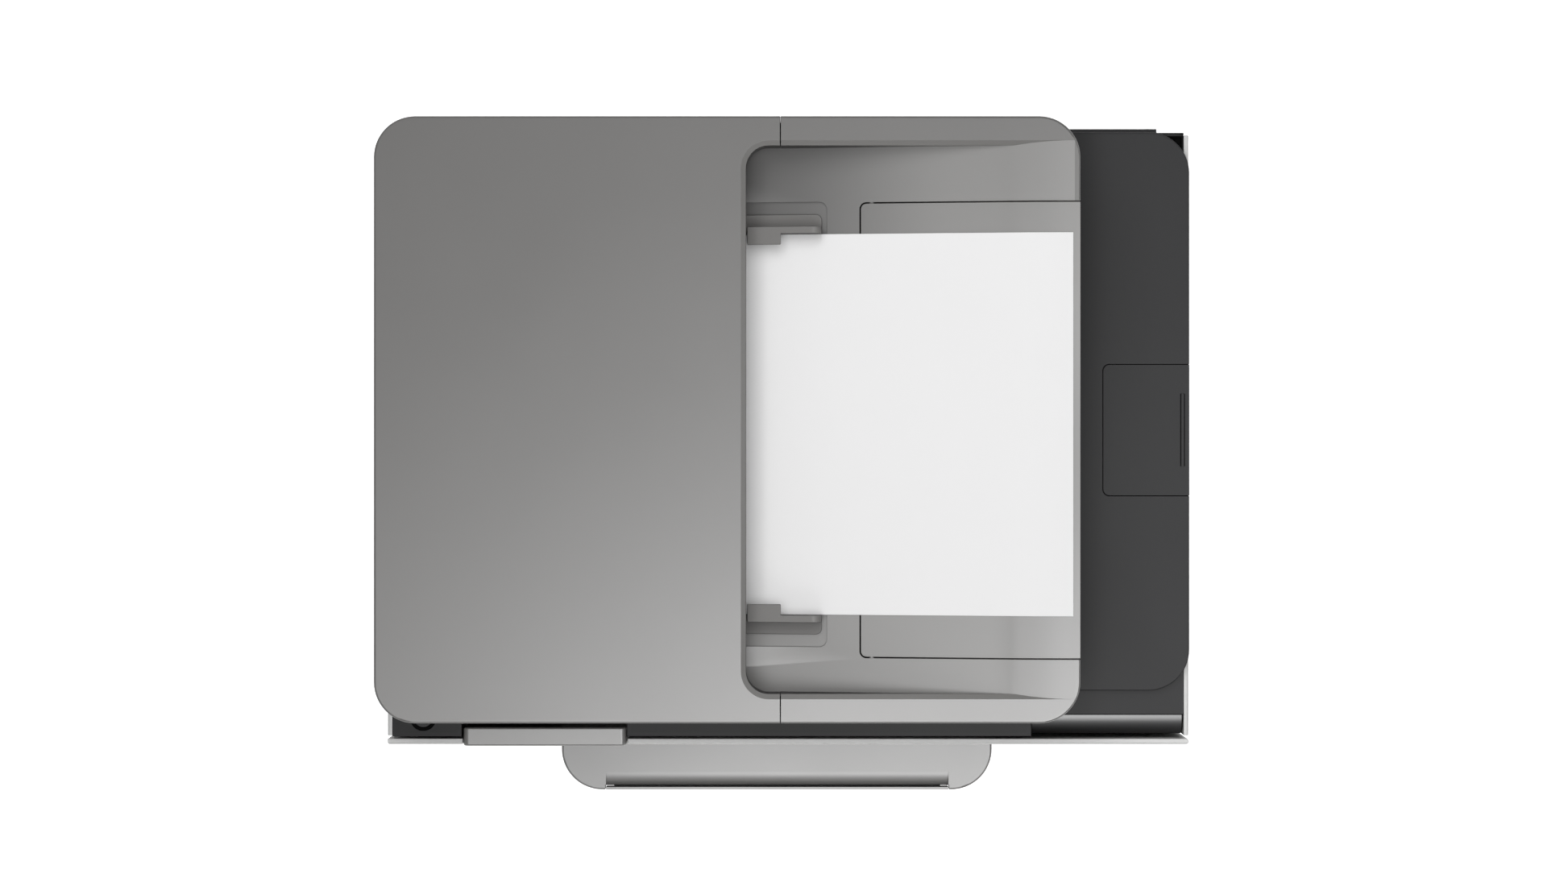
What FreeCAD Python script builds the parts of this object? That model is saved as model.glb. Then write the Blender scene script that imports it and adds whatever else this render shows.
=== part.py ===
import FreeCAD, Part
import os
import re
import Sketcher

# Ink-jet printer with a scanner and a sheet feeder on top.
# Millimetres. X runs to the right, Y to the rear, Z up. The origin is the middle of the footprint.

doc = FreeCAD.newDocument("InkjetPrinter")
dims = doc.addObject("Spreadsheet::Sheet", "Dims")
aliases = set()


def table(title, rows):
    """Write one block of driving dimensions into the sheet."""
    row = len(aliases) + table.blocks + 1
    table.blocks += 1
    dims.set(f"A{row}", title)
    for number, (alias, size, note) in enumerate(rows, row + 1):
        dims.set(f"A{number}", note)
        dims.set(f"B{number}", str(size))
        dims.setAlias(f"B{number}", alias)
        aliases.add(alias)


table.blocks = 0

table("Main body", [
    ("body_half", 226.7, "half of the overall width"),
    ("panel_wall", 2.7, "side panel thickness"),
    ("front_skin", -157.4, "front face of door and fascia"),
    ("front_back", -154.2, "rear face of door and fascia"),
    ("side_front", -152.4, "front end of the side panels"),
    ("side_rear", 187.5, "rear end of the side panels"),
    ("rear_face", 191.0, "outside of the rear cover"),
    ("foot_high", 5, "height of a rubber foot"),
    ("foot_wide", 9, "radius of a rubber foot"),
    ("floor_top", 8, "top of the chassis floor"),
    ("sill_top", 114, "top of the fascia under the door"),
    ("housing_low", 189, "underside of the upper housing"),
    ("housing_top", 193, "top of the upper housing"),
    ("ledge_front", -152.9, "front of the ledge under the lid"),
    ("step_front", -140.5, "front of the deck beside the gloss trim"),
    ("trim_left", 137.7, "left end of the gloss trim"),
    ("deck_top", 198, "top of the dark deck"),
    ("deck_left", 158.8, "left side of the dark deck"),
    ("deck_front", -126.7, "front of the dark deck"),
    ("deck_rear", 188.9, "rear of the dark deck"),
    ("deck_corner", 23, "corner radius of the dark deck"),
])

table("Scanner and lid", [
    ("lid_left", -226.7, "left side of the lid"),
    ("lid_right", 159.8, "right side of the lid"),
    ("lid_front", -140.1, "front of the lid"),
    ("lid_rear", 192.1, "rear of the lid"),
    ("lid_corner", 22.5, "corner radius of the lid"),
    ("lid_low", 222.3, "underside of the lid"),
    ("lid_skin", 227, "top of the lid plate"),
    ("shell_low", 228.5, "lower edge of the feeder shells"),
    ("lid_top", 278, "top of the lid"),
    ("shell_wall", 3, "wall of the feeder shells"),
    ("edge_round", 1.2, "small rounding of the outer edges"),
    ("seam_x", -4.3, "seam between the feeder cover and the tray"),
    ("seam_gap", 0.3, "half of the seam"),
    ("scan_inset", 1.5, "how far the scanner stands back from the lid"),
    ("scan_low", 196, "underside of the scanner"),
    ("scan_top", 220.9, "top of the scanner"),
    ("hinge_y", 188.8, "lid hinge axis"),
    ("hinge_z", 224.8, "lid hinge axis"),
    ("hinge_pin", 1.6, "lid hinge pin radius"),
    ("knuckle", 3.3, "lid hinge knuckle radius"),
])

table("Feeder tray", [
    ("recess_left", -23.2, "left side of the recess"),
    ("recess_front", -124.2, "front of the recess"),
    ("recess_rear", 176.2, "rear of the recess"),
    ("recess_corner", 12.5, "corner radius of the recess"),
    ("recess_bevel", 2.7, "bevel round the recess"),
    ("ramp_left", -150, "left end of the sheet ramp"),
    ("ramp_foot_x", -45, "where the ramp starts to rise"),
    ("ramp_foot_z", 241.6, "height of the flat part of the ramp"),
    ("ramp_slope", 0.2, "rise of the ramp per millimetre"),
    ("ramp_end_x", 116.75, "where the ramp starts to level out"),
    ("brow_x", 156.75, "where the brow is level"),
    ("brow_z", 277.95, "height of the level brow"),
    ("ramp_skin", 4, "thickness of the ramp and the flap"),
    ("feed_y", 23.5, "centre line of the sheets"),
    ("flap_left", 40.1, "left side of the tray flap"),
    ("flap_front", -104.6, "front of the tray flap"),
    ("flap_rear", 145.2, "rear of the tray flap"),
    ("flap_gap", 0.8, "gap round the tray flap"),
    ("flap_corner", 3, "corner radius of the tray flap"),
    ("flap_axis_x", 46.1, "tray flap hinge axis"),
    ("flap_axis_z", 257.8, "tray flap hinge axis"),
    ("flap_pin", 1.4, "tray flap pin radius"),
    ("guide_lip", 99.1, "centre line to the lip of a guide"),
    ("guide_in", 105.1, "centre line to the wall of a guide"),
    ("guide_out", 109, "centre line to the outside of the wall"),
    ("guide_foot", 116, "centre line to the outside of the foot"),
    ("guide_high", 12, "height of a guide above the ramp"),
    ("guide_right", 18.5, "right end of a guide"),
    ("lip_right", -4.1, "right end of the lip of a guide"),
    ("channel_half", 123, "half length of the guide channel"),
    ("channel_right", 21.5, "right side of the guide channel"),
    ("channel_deep", 1.6, "depth of the guide channel"),
    ("sheet_left", -141.2, "leading edge of the sheets"),
    ("sheet_right", 155.8, "trailing edge of the sheets"),
    ("sheet_half", 105, "half width of the sheets"),
    ("sheet_low", 0.15, "gap under the sheets"),
    ("sheet_high", 0.95, "top of the small pile of sheets"),
    ("cover_axis_x", -221.5, "feeder cover hinge axis"),
    ("cover_axis_z", 240, "feeder cover hinge axis"),
    ("cover_pin", 2.4, "feeder cover pin radius"),
    ("shaft_x", -187, "feed shaft and pick arm axis"),
    ("shaft_z", 252, "feed shaft and pick arm axis"),
    ("shaft_r", 3, "feed shaft radius"),
    ("pick_x", -121, "pick roller axis"),
    ("pick_z", 252.2, "pick roller axis"),
    ("pick_r", 9, "pick roller radius"),
])

table("Front", [
    ("door_left", -90.8, "left end of the front door"),
    ("door_low", 115, "bottom of the front door"),
    ("door_round", 1.6, "radius of the hinged edge of a door"),
    ("panel_left", -183.8, "left side of the control panel"),
    ("panel_right", -91.7, "right side of the control panel"),
    ("panel_back", -147.8, "rear of the control panel"),
    ("panel_round", 5.25, "half thickness of the control panel"),
    ("panel_low", 120, "bottom of the control panel"),
    ("panel_top", 194, "top of the control panel"),
    ("screen_deep", 1, "thickness of the touch screen"),
    ("button_x", -206.6, "power button"),
    ("button_y", -142.5, "power button"),
    ("button_r", 5.3, "power button radius"),
    ("bay_left", -139.5, "left side of the paper tray"),
    ("bay_right", 129.5, "right side of the paper tray"),
    ("tray_front", -160, "front of the paper tray"),
    ("tray_rear", 175, "rear of the paper tray"),
    ("tray_low", 8.6, "underside of the paper tray"),
    ("tray_high", 60, "top of the paper tray"),
    ("tray_wall", 3, "wall of the paper tray"),
    ("out_left", -133.9, "left side of the output tray"),
    ("out_right", 120.7, "right side of the output tray"),
    ("out_front", -192.1, "front of the output tray"),
    ("out_rear", -57, "rear of the output tray"),
    ("out_low", 66, "underside of the output tray"),
    ("out_top", 79, "top of the output tray"),
    ("out_corner", 24, "front corner radius of the output tray"),
    ("scoop_left", -107.7, "left side of the finger scoop"),
    ("scoop_right", 95, "right side of the finger scoop"),
    ("scoop_rear", -181.4, "rear of the finger scoop"),
    ("scoop_front", -189.2, "front of the finger scoop"),
    ("stop_deep", 1.5, "thickness of the sheet stop"),
])

table("Printing mechanism", [
    ("frame_half", 216, "half width of the metal frame"),
    ("frame_low", 62.5, "underside of the metal frame"),
    ("frame_top", 180, "top of the metal frame"),
    ("frame_front", -62, "front of the metal frame"),
    ("frame_rear", 60, "rear of the metal frame"),
    ("sheet_metal", 3, "thickness of the side plates"),
    ("plate_metal", 2, "thickness of the bottom plate"),
    ("rod_y", 28, "carriage rod"),
    ("rod_z", 121, "carriage rod"),
    ("rod_r", 4, "carriage rod radius"),
    ("feed_roll_y", 30, "feed roller axis"),
    ("feed_roll_z", 88, "feed roller axis"),
    ("feed_roll_r", 8.5, "feed roller radius"),
    ("exit_roll_y", -48, "exit roller axis"),
    ("exit_roll_z", 86, "exit roller axis"),
    ("exit_roll_r", 6.5, "exit roller radius"),
    ("axle_r", 3, "roller axle radius"),
    ("head_left", 110, "left side of the carriage"),
    ("head_wide", 90, "width of the carriage"),
    ("head_front", -66, "front of the carriage"),
    ("head_rear", 18, "rear of the carriage"),
    ("head_low", 96, "underside of the carriage"),
    ("head_top", 150, "top of the carriage"),
    ("tank_pitch", 21.5, "spacing of the ink cartridges"),
    ("tank_wide", 19, "width of an ink cartridge"),
    ("belt_x", 195, "distance of a belt pulley from the middle"),
    ("belt_z", 140, "height of the belt pulleys"),
    ("belt_r", 8, "inside radius of the belt"),
    ("belt_thick", 1, "thickness of the belt"),
])
doc.recompute()


def bound(text):
    """Point every dimension named in an expression at the sheet."""
    return re.sub(r"[a-z]\w*", lambda word: f"Dims.{word[0]}" if word[0] in aliases else word[0], str(text))


def value(text):
    """The present number behind an expression."""
    return float(dims.evalExpression(bound(text)))


def bind(item, prop, text):
    item.setExpression(prop, bound(text))


def place(item, x, y, z):
    bind(item, "Placement.Base.x", x)
    bind(item, "Placement.Base.y", y)
    bind(item, "Placement.Base.z", z)
    return item


def box(name, x, y, z):
    """A block between two limits on each axis."""
    item = doc.addObject("Part::Box", name)
    for prop, (low, high) in zip(("Length", "Width", "Height"), (x, y, z)):
        bind(item, prop, f"({high}) - ({low})")
    return place(item, x[0], y[0], z[0])


turns = {
    "x": FreeCAD.Rotation(FreeCAD.Vector(0, 1, 0), 90),
    "y": FreeCAD.Rotation(FreeCAD.Vector(1, 0, 0), -90),
    "z": FreeCAD.Rotation(),
}


def rod(name, along, span, centre, radius):
    """A round bar along one axis. The centre gives the other two coordinates in X, Y, Z order."""
    item = doc.addObject("Part::Cylinder", name)
    bind(item, "Radius", radius)
    bind(item, "Height", f"({span[1]}) - ({span[0]})")
    item.Placement = FreeCAD.Placement(FreeCAD.Vector(), turns[along])
    spot = list(centre)
    spot.insert("xyz".index(along), span[0])
    return place(item, *spot)


def fuse(name, *items):
    item = doc.addObject("Part::MultiFuse", name)
    item.Shapes = list(items)
    return item


def group(name, *items):
    item = doc.addObject("Part::Compound", name)
    item.Links = list(items)
    return item


def cut(name, base, *tools):
    item = doc.addObject("Part::Cut", name)
    item.Base = base
    item.Tool = tools[0] if len(tools) == 1 else fuse(name + "_tools", *tools)
    return item


def overlap(name, first, second):
    item = doc.addObject("Part::Common", name)
    item.Base = first
    item.Tool = second
    return item


def edges(shape, along=None, **near):
    """Names of the edges that run along an axis, or whose middle lies at the given coordinates."""
    found = []
    for number, edge in enumerate(shape.Edges, 1):
        if along:
            if edge.Curve.TypeId != "Part::GeomLine":
                continue
            if abs(getattr(edge.tangentAt(edge.FirstParameter), along)) < 0.99:
                continue
        middle = edge.CenterOfMass
        if all(abs(getattr(middle, axis) - value(want)) < 0.02 for axis, want in near.items()):
            found.append(f"Edge{number}")
    return found


def prism(name, plane, points, span, rounds=()):
    """A closed outline on one plane, padded along the third axis, with rounded or bevelled edges.

    Each entry of rounds is (kind, size, choices) and each choice is handed to edges().
    """
    body = doc.addObject("PartDesign::Body", name)
    support = [part for part in body.Origin.OriginFeatures if part.Role == plane + "_Plane"][0]
    sketch = body.newObject("Sketcher::SketchObject", name + "_outline")
    sketch.AttachmentSupport = [(support, "")]
    sketch.MapMode = "FlatFace"
    spots = [FreeCAD.Vector(value(across), value(up), 0) for across, up in points]
    for number, spot in enumerate(spots):
        sketch.addGeometry(Part.LineSegment(spot, spots[(number + 1) % len(spots)]))
    for number, (across, up) in enumerate(points):
        sketch.addConstraint(Sketcher.Constraint("Coincident", number, 2, (number + 1) % len(points), 1))
        for kind, text, now in (("DistanceX", across, spots[number].x), ("DistanceY", up, spots[number].y)):
            index = sketch.addConstraint(Sketcher.Constraint(kind, -1, 1, number, 1, now))
            bind(sketch, f"Constraints[{index}]", text)
    low, high = span
    bind(sketch, "AttachmentOffset.Base.z", f"-({high})" if plane == "XZ" else low)
    solid = body.newObject("PartDesign::Pad", name + "_pad")
    solid.Profile = sketch
    bind(solid, "Length", f"({high}) - ({low})")
    for number, (kind, size, choices) in enumerate(rounds, 1):
        doc.recompute()
        chosen = []
        for choice in choices:
            chosen += [edge for edge in edges(solid.Shape, **choice) if edge not in chosen]
        feature = body.newObject(f"PartDesign::{kind}", f"{name}_{kind.lower()}{number}")
        feature.Base = (solid, chosen)
        bind(feature, "Radius" if kind == "Fillet" else "Size", size)
        solid = feature
    body.Tip = solid
    return body


def plate(name, x, y, z, corner=None, sides=("left", "right", "front", "rear"), extra=()):
    """A flat plate whose upright corners on the named sides are rounded."""
    points = [(x[0], y[0]), (x[1], y[0]), (x[1], y[1]), (x[0], y[1])]
    rounds = []
    if corner is not None:
        across = [x[number] for number, side in enumerate(("left", "right")) if side in sides]
        deep = [y[number] for number, side in enumerate(("front", "rear")) if side in sides]
        rounds.append(("Fillet", corner, [{"along": "z", "x": a, "y": b} for a in across for b in deep]))
    return prism(name, "XY", points, z, rounds + list(extra))


def ramp_height(x, up):
    """Height of the sheet ramp at x, raised by up."""
    if value(x) <= value("ramp_foot_x"):
        return f"ramp_foot_z + ({up})"
    if value(x) <= value("ramp_end_x"):
        return f"ramp_foot_z + ramp_slope * (({x}) - ramp_foot_x) + ({up})"
    if value(x) < value("brow_x"):
        return f"brow_z - ramp_slope / (2 * (brow_x - ramp_end_x)) * (brow_x - ({x}))^2 + ({up})"
    return f"brow_z + ({up})"


def ramp_line(left, right, up):
    bend = [f"ramp_end_x + (brow_x - ramp_end_x) * {step} / 8" for step in range(9)]
    knots = [knot for knot in ["ramp_foot_x"] + bend if value(left) < value(knot) < value(right)]
    return [(x, ramp_height(x, up)) for x in [left] + knots + [right]]


def ramp_band(name, left, right, low, high, span, rounds=()):
    """A strip that follows the ramp between two heights above it."""
    points = ramp_line(left, right, low) + ramp_line(left, right, high)[::-1]
    return prism(name, "XZ", points, span, rounds)


# ---------------------------------------------------------------- chassis and outer covers

floor = box("chassis_floor", ("3 - body_half", "body_half - 3"), ("front_back", "side_rear"),
            ("foot_high", "floor_top"))
walls = [box(f"chassis_wall_{number}", (low, high), (-138, 184), ("floor_top", top)) for number,
         (low, high,
          top) in enumerate(((-221, -218, "housing_low"), (218, 221, "housing_low"),
                             ("bay_left - 4.5", "bay_left - 1.5", "frame_low"),
                             ("bay_right + 1.5", "bay_right + 4.5", "frame_low")), 1)]
bridge = box("chassis_bridge", ("bay_left - 4.5", "bay_right + 4.5"), ("frame_rear + 4", 184),
             ("frame_low", "frame_low + plate_metal"))
shelves = [box(f"chassis_shelf_{number}", span, (-150, "frame_front - 2"), ("frame_low", "out_low"))
           for number,
           span in enumerate((("bay_left - 4.5", "out_left + 3"), ("out_right - 3", "bay_right + 4.5")), 1)]
hand_slots = [prism(f"chassis_hand_slot_{number}", "YZ", [(-35, 24), (75, 24), (75, 42), (-35, 42)], span,
                    [("Fillet", 8.5, [{"along": "x"}])]) for number,
              span in enumerate(((-222, -217), (217, 222)), 1)]
base_chassis = cut("base_chassis", fuse("chassis_whole", floor, *walls, bridge, *shelves), *hand_slots)

feet = [rod(f"foot_{number}", "z", (0, "foot_high"), spot, "foot_wide")
        for number, spot in enumerate(((-200, -130), (200, -130), (-200, 165), (200, 165)), 1)]
rubber_feet = group("rubber_feet", *feet)


def side_panel(name, low, high, outer):
    panel = prism(name + "_skin", "XY",
                  [(low, "side_front"), (high, "side_front"), (high, "side_rear"), (low, "side_rear")],
                  ("floor_top", "housing_top"),
                  [("Fillet", "edge_round", [{"along": "y", "x": outer, "z": "housing_top"}])])
    grip = prism(name + "_grip", "YZ", [(-35, 24), (75, 24), (75, 42), (-35, 42)],
                 (f"({low}) - 1", f"({high}) + 1"), [("Fillet", 8.5, [{"along": "x"}])])
    return cut(name, panel, grip)


left_side_panel = side_panel("left_side_panel", "-body_half", "panel_wall - body_half", "-body_half")
right_side_panel = side_panel("right_side_panel", "body_half - panel_wall", "body_half", "body_half")

fascia_skin = prism("fascia_skin", "XZ",
                    [("-body_half", "floor_top"), ("body_half", "floor_top"), ("body_half", "sill_top"),
                     ("door_left - 0.4", "sill_top"), ("door_left - 0.4", "sill_top + 4"),
                     ("panel_left - 0.5", "sill_top + 4"), ("panel_left - 0.5", "housing_top"),
                     ("-body_half", "housing_top")],
                    ("front_skin", "front_back"),
                    [("Fillet", "edge_round", [{"along": "x", "y": "front_skin", "z": "housing_top"},
                                               {"along": "z", "x": "-body_half", "y": "front_skin"},
                                               {"along": "z", "x": "body_half", "y": "front_skin"}])])
tray_mouth = box("fascia_tray_mouth", ("bay_left - 1", "bay_right + 1"), (-170, -150),
                 (7, "tray_high + 1.5"))
out_mouth = prism("fascia_out_mouth", "XZ",
                  [(-137, "tray_high"), (125, "tray_high"), (125, 110), (-137, 110)], (-170, -150),
                  [("Fillet", 8, [{"along": "y", "z": 110}])])
usb_mouth = box("fascia_usb_mouth", (-212.8, -199.2), (-170, -150), (146.7, 153.3))
front_fascia = cut("front_fascia", fascia_skin, tray_mouth, out_mouth, usb_mouth)

usb_shell = box("usb_shell", (-212.6, -199.4), (-157, -140), (146.9, 153.1))
usb_hollow = box("usb_hollow", (-211.8, -200.2), (-158, -143), (147.7, 152.3))
usb_tongue = box("usb_tongue", (-211, -201), (-154, -143), (149.9, 151.6))
front_usb_port = fuse("front_usb_port", cut("usb_box", usb_shell, usb_hollow), usb_tongue)

rear_skin = box("rear_skin", ("panel_wall - body_half", "body_half - panel_wall"),
                ("side_rear", "rear_face"), ("floor_top", 192.6))
rear_mouths = [box(f"rear_mouth_{number}", x, (180, 195), z) for number, (x, z)
               in enumerate((((-111, 111), (39, 151)), ((149.8, 172.2), (69.8, 90.2)),
                             ((-199.2, -182.8), (69.8, 84.2)), ((-174.2, -161.8), (69.8, 81.2))), 1)]
rear_vents = [box(f"rear_vent_{number}", (140 + 6 * number, 142.5 + 6 * number), (180, 195), (110, 150))
              for number in range(1, 10)]
rear_step = box("rear_step", (208.6, 230), ("rear_face - 2.1", 195), (7, 193))
rear_cover = cut("rear_cover", rear_skin, *rear_mouths, *rear_vents, rear_step)

screw_spots = [(x, z) for z in (22, 176) for x in (-205, 0, 205)]
screw_heads = [rod(f"screw_head_{number}", "y", ("rear_face", "rear_face + 1"), spot, 3.2)
               for number, spot in enumerate(screw_spots, 1)]
screw_slots = [box(f"screw_slot_{number}", (x - 2, x + 2), ("rear_face + 0.4", "rear_face + 2"),
                   (z - 0.4, z + 0.4)) for number, (x, z) in enumerate(screw_spots, 1)]
rear_screws = cut("rear_screws", group("screw_heads", *screw_heads), *screw_slots)

housing_skin = prism("housing_skin", "XY",
                     [("panel_wall - body_half", "side_rear"), ("panel_wall - body_half", "ledge_front"),
                      ("panel_left - 1", "ledge_front"), ("panel_left - 1", "panel_back + 2.1"),
                      ("door_left - 0.4", "panel_back + 2.1"), ("door_left - 0.4", "ledge_front"),
                      ("trim_left", "ledge_front"), ("trim_left", "step_front"),
                      ("body_half - panel_wall", "step_front"), ("body_half - panel_wall", "side_rear")],
                     ("housing_low", "housing_top"))
plinth = box("housing_plinth", (-214, 147), (-127, 179), ("housing_top", "scan_low"))
button_well = rod("button_well", "z", ("housing_low - 1", "housing_top + 1"), ("button_x", "button_y"),
                  "button_r + 0.3")
button_dish = rod("button_dish", "z", ("housing_top - 0.8", "housing_top + 1"), ("button_x", "button_y"),
                  "button_r + 1.9")
flap_dip = box("housing_flap_dip", (177.4, 185.6), (-17.1, 58.1), (191.4, "housing_top + 1"))
corner_dip = cut("housing_corner_dip",
                 box("corner_room", (204, 222.6), (164, 186.4), (190.2, "housing_top + 1")),
                 box("corner_rib_1", (204, 224), (181.4, 182.6), (189, 192.2)),
                 box("corner_rib_2", (217, 218.2), (160, 187), (189, 191.6)))
upper_housing = cut("upper_housing", fuse("housing_block", housing_skin, plinth), button_well, button_dish,
                    flap_dip, corner_dip)

gloss_trim = prism("gloss_trim", "YZ",
                   [("step_front - 11.3", "housing_top - 12"), ("step_front", "housing_top - 12"),
                    ("step_front", "housing_top"), ("step_front - 11.3", "housing_top")],
                   ("trim_left + 0.2", "body_half - 3.7"),
                   [("Fillet", 11, [{"along": "x", "y": "step_front - 11.3", "z": "housing_top"}])])

deck_slab = plate("deck_slab", ("deck_left", "body_half"), ("deck_front", "deck_rear"),
                  ("housing_top", "deck_top"), "deck_corner", ("right", "front", "rear"),
                  [("Fillet", 0.8, [{"z": "deck_top", "along": "y", "x": "body_half"}])])
deck_pocket = plate("deck_pocket", (177.6, 230), (-16.9, 57.9), (194.6, 205), 3.8,
                    ("left", "front", "rear"))
deck_relief = plate("deck_relief", (177.6, 185.4), (-16.9, 57.9), (190, 195), 3.8,
                    ("left", "front", "rear"))
deck_bore = rod("deck_bore", "y", (-20.5, 61.5), (182.6, 196.4), 1.08)
document_deck = cut("document_deck", deck_slab, deck_pocket, deck_relief, deck_bore)

flap_leaf = plate("deck_flap_leaf", (178.1, "body_half"), (-16.4, 57.4), (194.9, "deck_top"), 3.5,
                  ("left", "front", "rear"))
flap_bar = box("deck_flap_bar", (221.8, 223.9), (0, 41), (197, "deck_top + 0.8"))
flap_pins = rod("deck_flap_pins", "y", (-20, 61), (182.6, 196.4), 1)
document_flap = fuse("document_flap", flap_leaf, flap_bar, flap_pins)

# ---------------------------------------------------------------- front door, panel and button

door_round = {"along": "x", "z": "door_low"}
front_door = prism("front_door", "XZ", [("door_left", "door_low"), ("body_half", "door_low"),
                                        ("body_half", "housing_top"), ("door_left", "housing_top")],
                   ("front_skin", "front_back"),
                   [("Fillet", "door_round - 0.001", [door_round]),
                    ("Fillet", "edge_round", [{"along": "x", "y": "front_skin", "z": "housing_top"},
                                              {"along": "z", "x": "body_half", "y": "front_skin"}])])

panel_slab = prism("panel_slab", "XZ",
                   [("panel_left", "panel_low"), ("panel_right", "panel_low"),
                    ("panel_right", "panel_top"), ("panel_left", "panel_top")],
                   ("panel_back - 2 * panel_round", "panel_back"),
                   [("Fillet", 3, [{"along": "y"}]), ("Fillet", 1.2, [{"along": "x"}])])
screen_x = ("panel_left + 7", "panel_right - 7")
screen_z = (131, 181)
screen_y = ("panel_back - 2 * panel_round", "panel_back - 2 * panel_round + screen_deep")
screen_seat = box("screen_seat", (f"{screen_x[0]} - 0.1", f"{screen_x[1]} + 0.1"),
                  ("panel_back - 20", screen_y[1]), (screen_z[0] - 0.1, screen_z[1] + 0.1))
control_panel = cut("control_panel", panel_slab, screen_seat)
touch_screen = box("touch_screen", screen_x, screen_y, screen_z)

power_button = rod("power_button", "z", ("housing_low - 3", "housing_top + 0.4"), ("button_x", "button_y"),
                   "button_r")

# ---------------------------------------------------------------- paper tray and output tray

tray_block = box("tray_block", ("bay_left", "bay_right"), ("tray_front", "tray_rear"),
                 ("tray_low", "tray_high"))
tray_hollow = box("tray_hollow", ("bay_left + tray_wall", "bay_right - tray_wall"),
                  ("tray_front + 8", "tray_rear - tray_wall"), ("tray_low + tray_wall", "tray_high + 1"))
tray_grip = prism("tray_grip", "XZ", [(-60, 36), (50, 36), (50, 54), (-60, 54)],
                  ("tray_front - 1", "tray_front + 5"), [("Fillet", 8.5, [{"along": "y"}])])
input_tray = cut("input_tray", tray_block, tray_hollow, tray_grip)


def width_guide(name, wall, foot):
    upright = box(name + "_wall", wall, (-60, 60), ("tray_low + tray_wall + 0.2", 46))
    sole = box(name + "_foot", foot, (-30, 30), ("tray_low + tray_wall + 0.2", "tray_low + tray_wall + 2"))
    return fuse(name, upright, sole)


tray_guide_left = width_guide("tray_guide_left", (-113.2, -110.2), (-132, -112))
tray_guide_right = width_guide("tray_guide_right", (100.2, 103.2), (102, 122))
tray_guide_length = fuse("tray_guide_length",
                         box("length_guide_wall", (-30, 20), (-128.6, -125.6),
                             ("tray_low + tray_wall + 0.2", 42)),
                         box("length_guide_foot", (-20, 10), (-139, -127),
                             ("tray_low + tray_wall + 0.2", "tray_low + tray_wall + 2")))

out_slab = plate("out_slab", ("out_left", "out_right"), ("out_front", "out_rear"), ("out_low", "out_top"),
                 "out_corner", ("left", "right", "front"),
                 [("Fillet", "edge_round", [{"along": "x", "y": "out_front", "z": "out_top"}])])
out_notch = box("out_notch", ("scoop_left - 0.5", "scoop_right + 0.5"), (-200, "scoop_front"), (60, 90))
out_scoop = prism("out_scoop", "YZ",
                  [("scoop_front - 1", "out_top - 4.5"), ("scoop_front - 1", 90), ("scoop_rear", 90),
                   ("scoop_rear", "out_top")], ("scoop_left", "scoop_right"))
out_slot = box("out_slot", ("scoop_left + 4", "scoop_right - 4"), (-200, "out_rear - 4"),
               ("out_low + 2", "out_low + 7.6"))
out_shelf = box("out_shelf", ("scoop_left - 0.5", "scoop_right + 0.5"),
                ("out_front + stop_deep + 0.25", "scoop_front + 1.5"), ("out_low + 0.2", "out_low + 2"))
output_tray = fuse("output_tray", cut("out_carved", out_slab, out_notch, out_scoop, out_slot), out_shelf)

output_extension = box("output_extension", ("scoop_left + 4.6", "scoop_right - 4.6"),
                       ("out_front + stop_deep + 0.2", -64), ("out_low + 2.4", "out_low + 7.2"))
paper_stop = prism("paper_stop", "YZ",
                   [("out_front", "out_low + 0.6"), ("out_front + stop_deep", "out_low + 0.6"),
                    ("out_front + stop_deep", "out_top"), ("out_front", "out_top")],
                   ("scoop_left", "scoop_right"),
                   [("Fillet", "stop_deep / 2 - 0.001", [{"along": "x", "z": "out_low + 0.6"}])])

# ---------------------------------------------------------------- rear door and sockets

rear_door = prism("rear_door", "XZ", [(-110, 40), (110, 40), (110, 150), (-110, 150)],
                  ("rear_face - 3.2", "rear_face"),
                  [("Fillet", "door_round - 0.001", [{"along": "x", "z": 40}])])

inlet_block = box("inlet_block", (150, 172), (175, "rear_face - 0.6"), (70, 90))
inlet_wells = [rod(f"inlet_well_{number}", "y", (180, 195), (x, 80), 4) for number,
               x in enumerate((157.4, 164.6), 1)]
inlet_waist = box("inlet_waist", (157.4, 164.6), (180, 195), (77.6, 82.4))
inlet_pins = [rod(f"inlet_pin_{number}", "y", (178, 188), (x, 80), 1.1) for number,
              x in enumerate((157.4, 164.6), 1)]
power_inlet = fuse("power_inlet", cut("inlet_shell", inlet_block, *inlet_wells, inlet_waist), *inlet_pins)

network_jack = cut("network_jack", box("network_block", (-199, -183), (170, "rear_face - 0.4"), (70, 84)),
                   box("network_hollow", (-197, -185), (178, 195), (72, 82)))
usb_jack = cut("usb_jack", box("usb_block", (-174, -162), (172, "rear_face - 0.4"), (70, 81)),
               box("usb_well", (-172.4, -163.6), (180, 195), (71.6, 79.4)))
interface_ports = group("interface_ports", network_jack, usb_jack)

main_board = fuse("main_board", box("board_sheet", (-214.6, -213), (66, 168), (66, 165)),
                  box("board_chip_1", (-213.2, -210), (90, 112), (100, 122)),
                  box("board_chip_2", (-213.2, -211), (125, 139), (90, 110)),
                  box("board_plug", (-213.2, -205), (76, 84), (130, 158)))
power_supply = box("power_supply", (118, 205), (88, 172), ("frame_low + plate_metal", 106))

# ---------------------------------------------------------------- printing mechanism

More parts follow.
